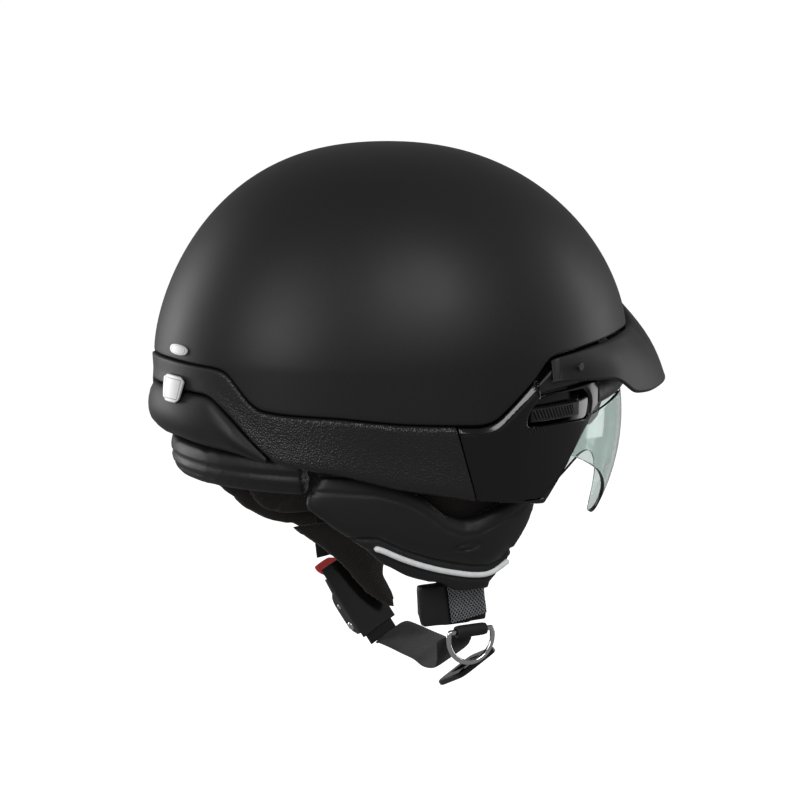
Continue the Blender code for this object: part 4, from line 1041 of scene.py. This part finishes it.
for side, tag in ((-1, "right"), (1, "left")):
    V, U = np.meshgrid(np.linspace(0, 1, 26), np.linspace(0, 1, 40), indexing="ij")
    low = -0.1225 + 0.0040 * np.clip((U - 0.55) / 0.45, 0, 1) ** 2
    level = low + V * (-0.056 - low)
    y = curtain_front(level) - 0.0012 + (curtain_rear(level) - curtain_front(level) + 0.0030) * U
    z = low + V * (scoop(y) - low)
    rim = np.sqrt(np.clip(6.4 * U * (1 - U), 0, 1)) * np.sqrt(np.clip((1 - V) * 9, 0, 1))
    w = z - hem(y)
    face = 0.0032 * rim * np.clip((w - 0.004) / 0.008, 0, 1) - 0.0006
    x = curtain_x(y, z)
    outer = np.stack([side * (x + face), y, z], axis=-1)
    inner = np.stack([side * (x - 0.0058 - 0.0020 * rim), y, z], axis=-1)
    mesh = closed_shell("ear_cover_" + tag, outer, inner)
    cover = stuffed("ear_cover_" + tag, mesh, 0.0021, 0.0014, 3, levels=1)
    co = points_of(cover)
    w = co[:, 2] - hem(co[:, 1])
    facing = np.clip((side * co[:, 0] - curtain_x(co[:, 1], co[:, 2]) + 0.004) / 0.002, 0, 1)
    groove = 0.0016 * np.exp(-((w - 0.0046) / 0.0009) ** 2) + 0.0009 * np.exp(-((w + 0.0026) / 0.0008) ** 2)
    slit_y, slit_z = co[:, 1] - 0.0100, co[:, 2] + 0.0962 + 0.10 * (co[:, 1] - 0.0100)
    slit_ring = np.abs(np.hypot(slit_y / 3.4, slit_z) - 0.0019)
    groove += 0.0012 * np.exp(-(slit_ring / 0.0006) ** 2) * (np.abs(slit_y) < 0.0105)
    edge_line = scoop(co[:, 1]) - co[:, 2]
    groove += 0.0007 * np.exp(-((edge_line - 0.0085) / 0.0010) ** 2)
    sew(cover, groove * facing)
    declare(cover, "helmet", ["ear_curtain_" + tag], leather)
    cover.data.materials.append(knit)
    normals = np.empty(len(cover.data.polygons) * 3)
    cover.data.polygons.foreach_get("normal", normals)
    inside_faces = (side * normals.reshape(-1, 3)[:, 0] < -0.25).astype(np.int32)
    cover.data.polygons.foreach_set("material_index", inside_faces)
    ys = smooth_run(np.linspace(0.0585, -0.0195, 130), None, 0.01)
    path = np.stack([side * (curtain_x(ys, hem(ys)) + 0.0004), ys, smooth_run(hem(ys), None, 5)], axis=-1)
    piping = tube_along("piping_" + tag, path, 0.0017, "helmet", ["curtain_piping_" + tag],
                        flat=0.9)
    piping.data.materials.append(glow_painted_tape)
    V, U = np.meshgrid(np.linspace(0, 1, 12), np.linspace(0, 1, 24), indexing="ij")
    across, along = 2 * U - 1, 2 * V - 1
    z = -0.0865 + 0.0235 * along * np.sqrt(1 - across ** 2 / 2.2)
    y = 0.0160 + 0.0370 * across * np.sqrt(1 - along ** 2 / 2.2)
    plump = np.sqrt(np.clip(16 * U * (1 - U) * V * (1 - V), 0.02, 1))
    x = curtain_x(y, z) - 0.0100
    outer = np.stack([side * (x + 0.0010 * plump), y, z], axis=-1)
    inner = np.stack([side * (x - 0.0048 - 0.0022 * plump), y, z], axis=-1)
    pad = stuffed("ear_lining_" + tag, closed_shell("ear_lining_" + tag, outer, inner), 0.0024, 0.0012, 3)
    declare(pad, "helmet", ["ear_pad_" + tag], knit)


# ================================================================ neck roll
# A roll of the same fabric closes the rear under the skirt. It is sewn in two parallel
# channels and snaps into the shell.
turn = np.linspace(137.5, 222.5, 90)
A, R = np.meshgrid(turn, np.linspace(0, 1, 16))
z = -0.0655 + R * 0.0200 + 0.0010 * np.cos(np.radians(A))
belly = 0.0042 * np.sqrt(np.clip(4 * R * (1 - R), 0.03, 1))
outer = skin(A, z, -0.0130 + belly + 0.0020 * R)
inner = skin(A, z, -0.0210 - 0.3 * belly)
roll = stuffed("nape_roll", closed_shell("nape_roll", outer, inner), 0.0030, 0.0022, 4)
co = points_of(roll)
end_fade = np.clip((np.degrees(np.arctan2(np.abs(co[:, 0]), -co[:, 1])) - 140) / 4, 0, 1)
sew(roll, end_fade * (0.0016 * np.exp(-((co[:, 2] + 0.0560) / 0.0012) ** 2)
                      + 0.0008 * np.exp(-((co[:, 2] + 0.0618) / 0.0008) ** 2)))
declare(roll, "helmet", ["neck_roll"], leather)


# ================================================================ straps and webbing
# Polyester webbing runs down from a riveted anchor on each side. On the right it passes a
# padded sleeve and a patch of reflective mesh, and ends in a loop that holds the chrome ring.
def follow(path, per=8):
    """Smooth curve through points: each coordinate is a cubic run over the running length,
    worked out as a Catmull-Rom blend of the four nearest points."""
    p = np.asarray(path, float)
    p = np.vstack([2 * p[0] - p[1], p, 2 * p[-1] - p[-2]])
    t = np.linspace(0, 1, per, endpoint=False)[None, :, None]
    a, b, c, d = p[:-3, None], p[1:-2, None], p[2:-1, None], p[3:, None]
    curve = 0.5 * (2 * b + (c - a) * t + (2 * a - 5 * b + 4 * c - d) * t ** 2
                   + (3 * b - a - 3 * c + d) * t ** 3)
    return np.vstack([curve.reshape(-1, 3), p[-2]])


def ribbon(name, path, width, thick, across, body, stands_for, mat, per=8):
    """Webbing: a flat rounded section carried along a smooth curve. The section is a
    superellipse, width wide along across and thick through, and the UV map is in metres."""
    p = follow(path, per)
    ahead = np.gradient(p, axis=0)
    ahead /= np.linalg.norm(ahead, axis=1, keepdims=True)
    wide = np.broadcast_to(across, p.shape)
    wide = wide - ahead * (wide * ahead).sum(1)[:, None]
    wide /= np.linalg.norm(wide, axis=1, keepdims=True)
    deep = np.cross(ahead, wide)
    turn = np.linspace(0, 2 * pi, 36, endpoint=False) + pi / 36
    c, d = np.cos(turn), np.sin(turn)
    x = np.sign(c) * np.abs(c) ** 0.35 * width / 2
    y = np.sign(d) * np.abs(d) ** 0.8 * thick / 2
    grid = p[:, None] + wide[:, None] * x[:, None] + deep[:, None] * y[:, None]
    rows, cols = grid.shape[:2]
    index = np.arange(rows * cols).reshape(rows, cols)
    ahead_i = np.roll(index, -1, axis=1)
    faces = np.stack([index[:-1], ahead_i[:-1], ahead_i[1:], index[1:]], axis=-1).reshape(-1, 4).tolist()
    faces += [index[0][::-1].tolist(), index[-1].tolist()]
    mesh = bpy.data.meshes.new(name)
    mesh.from_pydata(grid.reshape(-1, 3).tolist(), [], faces)
    mesh.update()
    run = np.concatenate([[0], np.cumsum(np.linalg.norm(np.diff(p, axis=0), axis=1))])
    flat = np.stack([np.broadcast_to(x, (rows, cols)), np.broadcast_to(run[:, None], (rows, cols))], axis=-1)
    corner = np.empty(len(mesh.loops), np.int32)
    mesh.loops.foreach_get("vertex_index", corner)
    uv = mesh.uv_layers.new(name="UVMap")
    uv.data.foreach_set("uv", flat.reshape(-1, 2)[corner].astype(np.float32).ravel())
    mesh.shade_smooth()
    mesh.set_sharp_from_angle(angle=radians(50))
    obj = piece(name, mesh, body, stands_for)
    obj.data.materials.append(mat)
    return obj


def cloth_wave(mat, across, along, turn=0.0):
    """Product of two sines on the UV map, with pitches in metres: the rise of a weave."""
    tree = mat.node_tree
    uv = tree.nodes.new("ShaderNodeTexCoord")
    turned = tree.nodes.new("ShaderNodeMapping")
    turned.inputs["Rotation"].default_value = (0, 0, radians(turn))
    turned.inputs["Scale"].default_value = (2 * pi / across, 2 * pi / along, 1)
    split = tree.nodes.new("ShaderNodeSeparateXYZ")
    tree.links.new(uv.outputs["UV"], turned.inputs["Vector"])
    tree.links.new(turned.outputs["Vector"], split.inputs["Vector"])
    waves = []
    for axis in ("X", "Y"):
        sine = tree.nodes.new("ShaderNodeMath")
        sine.operation = "SINE"
        tree.links.new(split.outputs[axis], sine.inputs[0])
        waves.append(sine.outputs[0])
    both = tree.nodes.new("ShaderNodeMath")
    both.operation = "MULTIPLY"
    tree.links.new(waves[0], both.inputs[0])
    tree.links.new(waves[1], both.inputs[1])
    return spread(mat, both.outputs[0], 0, 1, -1, 1)


webbing = finish_material("black webbing", (0.016, 0.016, 0.017), 0.62, specular=0.35, sheen=0.15)
weave = cloth_wave(webbing, 0.0014, 0.0009)
bump(webbing, weave, 0.00018, 0.8)
bump(webbing, noise(webbing, 2200, 2), 0.00008, 0.4)
blend_colour(webbing, weave, (0.010, 0.010, 0.011), (0.024, 0.024, 0.025))

for s, tag in ((-1, "right"), (1, "left")):
    ribbon("strap_run_" + tag, [(s * 0.0962, .0200, -.0440), (s * .0955, .0180, -.0600),
                                (s * .0790, .0130, -.0680),
                                (s * .0690, .0090, -.0860), (s * .0665, .0050, -.1060),
                                (s * .0670, .0010, -.1195)],
           0.0200, 0.0016, (0, 1, 0), "helmet", ["strap_webbing_" + tag], webbing)
ribbon("lower_strap", [(.0665, .0050, -.1215), (.0667, .0042, -.1280), (.0668, .0035, -.1330)], 0.0200,
       0.0016,
       (0, 1, .15), "helmet", ["lower_strap_left"], webbing)
patch = finish_material("reflective mesh", (0.30, 0.31, 0.33), 0.38, metallic=0.55, specular=0.6)
tree = patch.node_tree
cells = tree.nodes.new("ShaderNodeTexVoronoi")
cells.voronoi_dimensions = "2D"
cells.feature = "DISTANCE_TO_EDGE"
cells.inputs["Scale"].default_value = 1
cells.inputs["Randomness"].default_value = 0.0
uv = tree.nodes.new("ShaderNodeTexCoord")
skew = tree.nodes.new("ShaderNodeMapping")
skew.inputs["Rotation"].default_value = (0, 0, radians(45))
skew.inputs["Scale"].default_value = (760, 560, 1)
tree.links.new(uv.outputs["UV"], skew.inputs["Vector"])
tree.links.new(skew.outputs["Vector"], cells.inputs["Vector"])
threads = spread(patch, cells.outputs["Distance"], 1, 0, 0.12, 0.26)
bump(patch, threads, 0.0004, 1.0)
blend_colour(patch, threads, (0.008, 0.008, 0.009), (0.26, 0.27, 0.28))
ribbon("mesh_patch", [(-.0787, .0000, -.1200), (-.0790, -.0008, -.1250), (-.0787, -.0015, -.1300),
                      (-.0789, -.0022, -.1350), (-.0785, -.0030, -.1400)], 0.0220, 0.0014, (0, 1, -.06),
                      "helmet",
       ["reflective_webbing"], patch)
V, U = np.meshgrid(np.linspace(0, 1, 12), np.linspace(0, 1, 18), indexing="ij")
z = -0.1205 - 0.0225 * V
middle = 0.0060 - 0.0025 * V
y = middle + (U - 0.5) * 0.0400
belly = 0.0022 * np.sqrt(np.clip(4 * U * (1 - U), 0.02, 1))
outer = np.stack([-0.0750 - belly, y, z], axis=-1)
inner = np.stack([-0.0705 + 0.6 * belly, y, z], axis=-1)
sleeve = stuffed("strap_cover", closed_shell("strap_cover", outer, inner), 0.0022, 0.0010, 3)
declare(sleeve, "helmet", ["strap_sleeve_right"], leather)


# ================================================================ chrome ring
# A D-shaped ring bent from chromed steel wire hangs in a stitched webbing loop.
def closed_tube(name, path, radius, body, stands_for, mat, sides=20):
    """A round tube along a closed path: a circle of the given radius stands across it."""
    p = np.asarray(path, float)
    ahead = np.roll(p, -1, axis=0) - np.roll(p, 1, axis=0)
    ahead /= np.linalg.norm(ahead, axis=1, keepdims=True)
    first = np.broadcast_to((1.0, 0.0, 0.0), p.shape)
    first = first - ahead * (first * ahead).sum(1)[:, None]
    first /= np.linalg.norm(first, axis=1, keepdims=True)
    second = np.cross(ahead, first)
    turn = np.linspace(0, 2 * pi, sides, endpoint=False)
    grid = p[:, None] + radius * (first[:, None] * np.cos(turn)[:, None]
                                  + second[:, None] * np.sin(turn)[:, None])
    index = np.arange(len(p) * sides).reshape(len(p), sides)
    nxt = np.roll(index, -1, axis=0)
    faces = np.stack([index, np.roll(index, -1, axis=1), np.roll(nxt, -1, axis=1), nxt],
                     axis=-1).reshape(-1, 4)
    mesh = bpy.data.meshes.new(name)
    mesh.from_pydata(grid.reshape(-1, 3).tolist(), [], faces.tolist())
    mesh.update()
    mend_normals(mesh)
    mesh.shade_smooth()
    obj = piece(name, mesh, body, stands_for)
    obj.data.materials.append(mat)
    return obj


chrome = finish_material("chromed wire", (0.78, 0.78, 0.79), 0.10, metallic=1.0)
chrome.node_tree.links.new(spread(chrome, noise(chrome, 160, 3), 0.06, 0.16),
                           chrome.node_tree.nodes["Principled BSDF"].inputs["Roughness"])
bump(chrome, noise(chrome, 90, 2), 0.00006, 0.3)
LOOP_AT = np.array([-0.0785, -0.0040, -0.1470])
arc = np.linspace(0, -pi, 60)
bar = np.linspace(-0.0125, 0.0125, 24)
corner = np.linspace(0, 1, 8)[1:-1]
ring_y = np.concatenate([bar, 0.0125 + 0.0010 * np.sin(corner * pi / 2), 0.0135 * np.cos(arc),
                         -0.0125 - 0.0010 * np.sin(corner[::-1] * pi / 2)])
ring_z = np.concatenate([0 * bar, -0.0040 * (1 - np.cos(corner * pi / 2)), -0.0040 + 0.0135 * np.sin(arc),
                         -0.0040 * (1 - np.cos(corner[::-1] * pi / 2))])
closed_tube("chrome_ring", np.stack([0 * ring_y, ring_y, ring_z], axis=-1) + LOOP_AT, 0.0014, "ring",
            ["d_ring"],
            chrome)
turn = np.linspace(0, 2 * pi, 48, endpoint=False)
along = np.linspace(-0.009, 0.009, 20)[:, None]
soft_end = 0.0034 - 0.0004 * (np.abs(along) / 0.009) ** 8
outer = np.stack([soft_end * np.cos(turn), along + 0 * turn, soft_end * np.sin(turn)], axis=-1) + LOOP_AT
inner = np.stack([0.0019 * np.cos(turn) + 0 * along, along + 0 * turn, 0.0019 * np.sin(turn) + 0 * along],
                 axis=-1) + LOOP_AT
loop = piece("strap_loop", closed_shell("strap_loop", outer, inner, ring=True), "helmet", ["webbing_loop"])
loop.data.shade_smooth()
loop.data.set_sharp_from_angle(angle=radians(50))
plain_weave = finish_material("folded webbing", (0.015, 0.015, 0.016), 0.65, specular=0.35)
bump(plain_weave, noise(plain_weave, 1800, 2), 0.00015, 0.7)
blend_colour(plain_weave, noise(plain_weave, 900, 2), (0.008, 0.008, 0.009), (0.026, 0.026, 0.027))
loop.data.materials.append(plain_weave)


# ================================================================ chin strap
# A padded band under the chin runs from the ring side, through a sliding adjuster, to the
# buckle on the left.
band_cloth = finish_material("brushed band cloth", (0.020, 0.018, 0.017), 0.8, specular=0.2, sheen=0.2)
weave = cloth_wave(band_cloth, 0.0011, 0.0011, 45)
bump(band_cloth, weave, 0.00014, 0.7)
bump(band_cloth, noise(band_cloth, 120, 3), 0.0006, 0.35)
blend_colour(band_cloth, spread(band_cloth, noise(band_cloth, 90, 4), 0, 1), (0.013, 0.012, 0.012),
             (0.032, 0.028, 0.026))
ribbon("chin_strap", [(-.0722, .0025, -.1505), (-.0690, .0010, -.1590), (-.0610, -.0012, -.1648),
                      (-.0400, -.0073, -.1700), (-.0180, -.0135, -.1719), (.0050, -.0181, -.1743),
                      (.0250, -.0208, -.1756), (.0400, -.0224, -.1768), (.0440, -.0222, -.1780)], 0.0230,
                      0.0022,
       (0, .90, -.44), "helmet", ["chin_band"], band_cloth, per=12)
slide_turn = (Matrix.Translation((-0.0560, -0.0150, -0.1735)) @ Matrix.Rotation(0, 4, "Z")
              @ Matrix.Rotation(radians(24), 4, "Y") @ Matrix.Rotation(radians(-26), 4, "X"))
t = np.linspace(0, 2 * pi, 96, endpoint=False)
frame_x = np.sign(np.cos(t)) * np.abs(np.cos(t)) ** 0.3 * 0.0150
frame_y = np.sign(np.sin(t)) * np.abs(np.sin(t)) ** 0.3 * 0.0140
lift = np.array([-0.0010, -0.0016, -0.0016, 0.0016, 0.0016, 0.0010])[:, None]
shrink = np.array([1.0, 0.95, 0.50, 0.50, 0.95, 1.0])[:, None]
grid = np.stack([frame_x * shrink, frame_y * shrink, lift + 0 * t], axis=-1)
turned = grid.reshape(-1, 3) @ np.array(slide_turn.to_3x3()).T + np.array(slide_turn.translation)
index = np.arange(6 * 96).reshape(6, 96)
nxt = np.roll(index, -1, axis=0)
faces = np.stack([index, np.roll(index, -1, axis=1), np.roll(nxt, -1, axis=1), nxt], axis=-1).reshape(-1, 4)
slide_mesh = bpy.data.meshes.new("slide_frame")
slide_mesh.from_pydata(turned.tolist(), [], faces.tolist())
slide_mesh.update()
mend_normals(slide_mesh)
slide = piece("slide_frame", slide_mesh, "helmet", ["strap_adjuster"])
slide_mesh.shade_smooth()
slide_mesh.set_sharp_from_angle(angle=radians(35))
slide.data.materials.append(gloss)
rows = [(-.1125, -.0300, .0330, .0645), (-.1200, -.0300, .0235, .0645), (-.1295, -.0300, .0110, .0640),
        (-.1360, -.0285, .0040, .0607), (-.1395, -.0250, .0010, .0592), (-.1460, -.0232, -.0035, .0567),
        (-.1550, -.0265, -.0105, .0522), (-.1625, -.0285, -.0185, .0472)]
rows = np.array(rows)
level = np.linspace(-.1125, -.1625, 26)
first = np.interp(-level, -rows[:, 0], rows[:, 1])[:, None]
last = np.interp(-level, -rows[:, 0], rows[:, 2])[:, None]
at_x = np.interp(-level, -rows[:, 0], rows[:, 3])[:, None]
share = np.linspace(0, 1, 22)[None, :]
middle, half = (first + last) / 2, (last - first) / 2
run = np.linspace(0, 1, 26)[:, None]
rounding = np.sqrt(np.clip(1 - (np.clip(run - 0.80, 0, None) / 0.205) ** 2, 0.04, 1))
y = middle + half * rounding * (2 * share - 1)
thick = 0.0042 + 0.0022 * np.sin(pi * share)
z = level[:, None] + 0 * share
outer = np.stack([at_x - 0.0004 + 0 * share, y, z], axis=-1)
inner = np.stack([at_x - thick, y, z], axis=-1)
jaw = stuffed("jaw_lining", closed_shell("jaw_lining", outer, inner), 0.0020, 0.0010, 3)
declare(jaw, "helmet", ["strap_pad_left"], knit)


# ================================================================ ratchet buckle
# A steel base carries two cheeks. The toothed nylon strap slides between them, and a curved
# lever with a red pull tab locks it.
BUCKLE_AT = np.array([0.0570, -0.0080, -0.1556])
buckle_up = np.array([0.34, 0.42, 0.84]) / np.linalg.norm([0.34, 0.42, 0.84])
buckle_out = np.array([0.90, 0.0, -0.36])
buckle_out -= buckle_up * (buckle_out * buckle_up).sum()
buckle_out /= np.linalg.norm(buckle_out)
buckle_across = np.cross(buckle_up, buckle_out)


def on_buckle(x, y, z):
    """Point at x across, y up and z out from the middle of the buckle's base."""
    x, y, z = np.broadcast_arrays(x, y, z)
    return BUCKLE_AT + x[..., None] * buckle_across + y[..., None] * buckle_up + z[..., None] * buckle_out


black_steel = finish_material("black gloss steel", (0.010, 0.010, 0.011), 0.18, specular=0.6, coat=0.5)
black_steel.node_tree.links.new(spread(black_steel, noise(black_steel, 60, 3), 0.14, 0.24),
                                black_steel.node_tree.nodes["Principled BSDF"].inputs["Roughness"])
bump(black_steel, noise(black_steel, 300, 2), 0.00004, 0.3)
refinish(["buckle_base"], black_steel)
run = np.linspace(-1, 1, 60)[None, :]
rise = np.linspace(0, 1, 14)[:, None]
cheek_y = -0.0060 + 0.0140 * run + 0 * rise
cheek_z = 0.0003 + 0.0087 * rise * np.clip(1 - np.abs(run) ** 4, 0.22, 1) ** 0.5
for tag, near, far in (("front", -0.0125, -0.0107), ("rear", 0.0107, 0.0125)):
    mesh = closed_shell("side_cheek_" + tag, on_buckle(near, cheek_y, cheek_z),
                        on_buckle(far, cheek_y, cheek_z))
    cheek = piece("side_cheek_" + tag, mesh, "helmet", ["buckle_cheek_" + tag])
    edge = cheek.modifiers.new("rounded edges", "BEVEL")
    edge.width = 0.0004
    edge.segments = 2
    edge.limit_method = "ANGLE"
    edge.angle_limit = radians(50)
    cheek.data.shade_smooth()
    cheek.data.set_sharp_from_angle(angle=radians(40))
    cheek.data.materials.append(black_steel)

y = np.linspace(-0.0150, 0.0165, 40)
x = np.linspace(-0.0101, 0.0101, 24)
X, Y = np.meshgrid(x, y)
arch = 0.0012 * np.sqrt(np.clip(1 - (X / 0.0104) ** 2, 0, 1))
arch = arch + 0.0022 * np.sin(pi * np.clip((Y + 0.015) / 0.034, 0, 1))
top = on_buckle(X, Y, 0.0064 + arch)
under = on_buckle(X, Y, 0.0042 + 0.4 * arch)
lever_cover = piece("lever_cover", closed_shell("lever_cover", top, under), "buckle_latch", ["buckle_lever"])
lever_cover.data.shade_smooth()
lever_cover.data.set_sharp_from_angle(angle=radians(45))
edge = lever_cover.modifiers.new("rounded edges", "BEVEL")
edge.width = 0.0005
edge.segments = 3
edge.limit_method = "ANGLE"
edge.angle_limit = radians(45)
lever_cover.data.materials.append(black_steel)

red = finish_material("red nylon", (0.62, 0.010, 0.012), 0.45, specular=0.4, sheen=0.1)
bump(red, noise(red, 1500, 2), 0.00010, 0.6)
blend_colour(red, spread(red, noise(red, 200, 3), 0, 1), (0.50, 0.008, 0.010), (0.72, 0.014, 0.015))
flare = radians(62)
run = np.linspace(0, 1, 24)[:, None]
wide = np.linspace(-1, 1, 20)[None, :]
half = 0.0080 - 0.0025 * run ** 3
bend = 0.0140 * run
x = wide * half
tab_y = 0.0180 + bend * cos(flare)
tab_z = 0.0058 + bend * sin(flare)
puff = 0.0009 - 0.0004 * np.abs(wide) ** 4
top = on_buckle(x, tab_y - puff * sin(flare), tab_z + puff * cos(flare))
under = on_buckle(x, tab_y + puff * sin(flare), tab_z - puff * cos(flare))
pull = piece("red_pull", closed_shell("red_pull", top, under), "buckle_latch", ["release_tab"])
pull.data.shade_smooth()
pull.data.set_sharp_from_angle(angle=radians(50))
pull.data.materials.append(red)

y = np.linspace(-0.0290, 0.0060, 350)
x = np.array([-0.0097, -0.0093, -0.0066, -0.0062, 0.0, 0.0062, 0.0066, 0.0093, 0.0097])
X, Y = np.meshgrid(x, y)
tooth = ((Y + 0.029) % 0.0025) / 0.0025
teeth = np.where(np.abs(X) < 0.0064, 0.0009 * tooth * np.clip((1 - tooth) / 0.1, 0, 1), 0)
top = on_buckle(X, Y, 0.0015 + teeth)
under = on_buckle(X, Y, 0.0004)
toothed = piece("toothed_strap", closed_shell("toothed_strap", top, under), "ratchet", ["ratchet_strap"])
toothed.data.shade_flat()
toothed.data.materials.append(satin)

for tag, x, y, z, r in (("upper", 0.0128, -0.0140, 0.0058, 0.0026),
                        ("lower", 0.0128, -0.0010, 0.0052, 0.0016),
                        ("far", -0.0128, -0.0140, 0.0058, 0.0026)):
    ring = np.linspace(0, 2 * pi, 28, endpoint=False)
    depth = np.linspace(0, pi / 2, 8)
    sign = 1 if x > 0 else -1
    D, R = np.meshgrid(depth, ring, indexing="ij")
    grid = on_buckle(x + sign * (-0.0006 + 0.5 * r * np.sin(D)), y + r * np.cos(D) * np.cos(R),
                     z + r * np.cos(D) * np.sin(R))
    rivet = surface("rivet_" + tag, grid[:-1], "helmet", [], ring=True,
                    pole=grid[-1, 0], inside=tuple(on_buckle(0.0, y, z)))
    cap = list(range(28))
    rivet_faces = [tuple(f.vertices) for f in rivet.data.polygons] + [tuple(cap)]
    rivet_points = [tuple(v.co) for v in rivet.data.vertices]
    rivet.data.clear_geometry()
    rivet.data.from_pydata(rivet_points, [], rivet_faces)
    rivet.data.update()
    mend_normals(rivet.data)
    rivet.data.shade_smooth()
    rivet.data.set_sharp_from_angle(angle=radians(50))
    rivet.data.materials.append(chrome)


# ================================================================ end
bpy.context.view_layer.update()
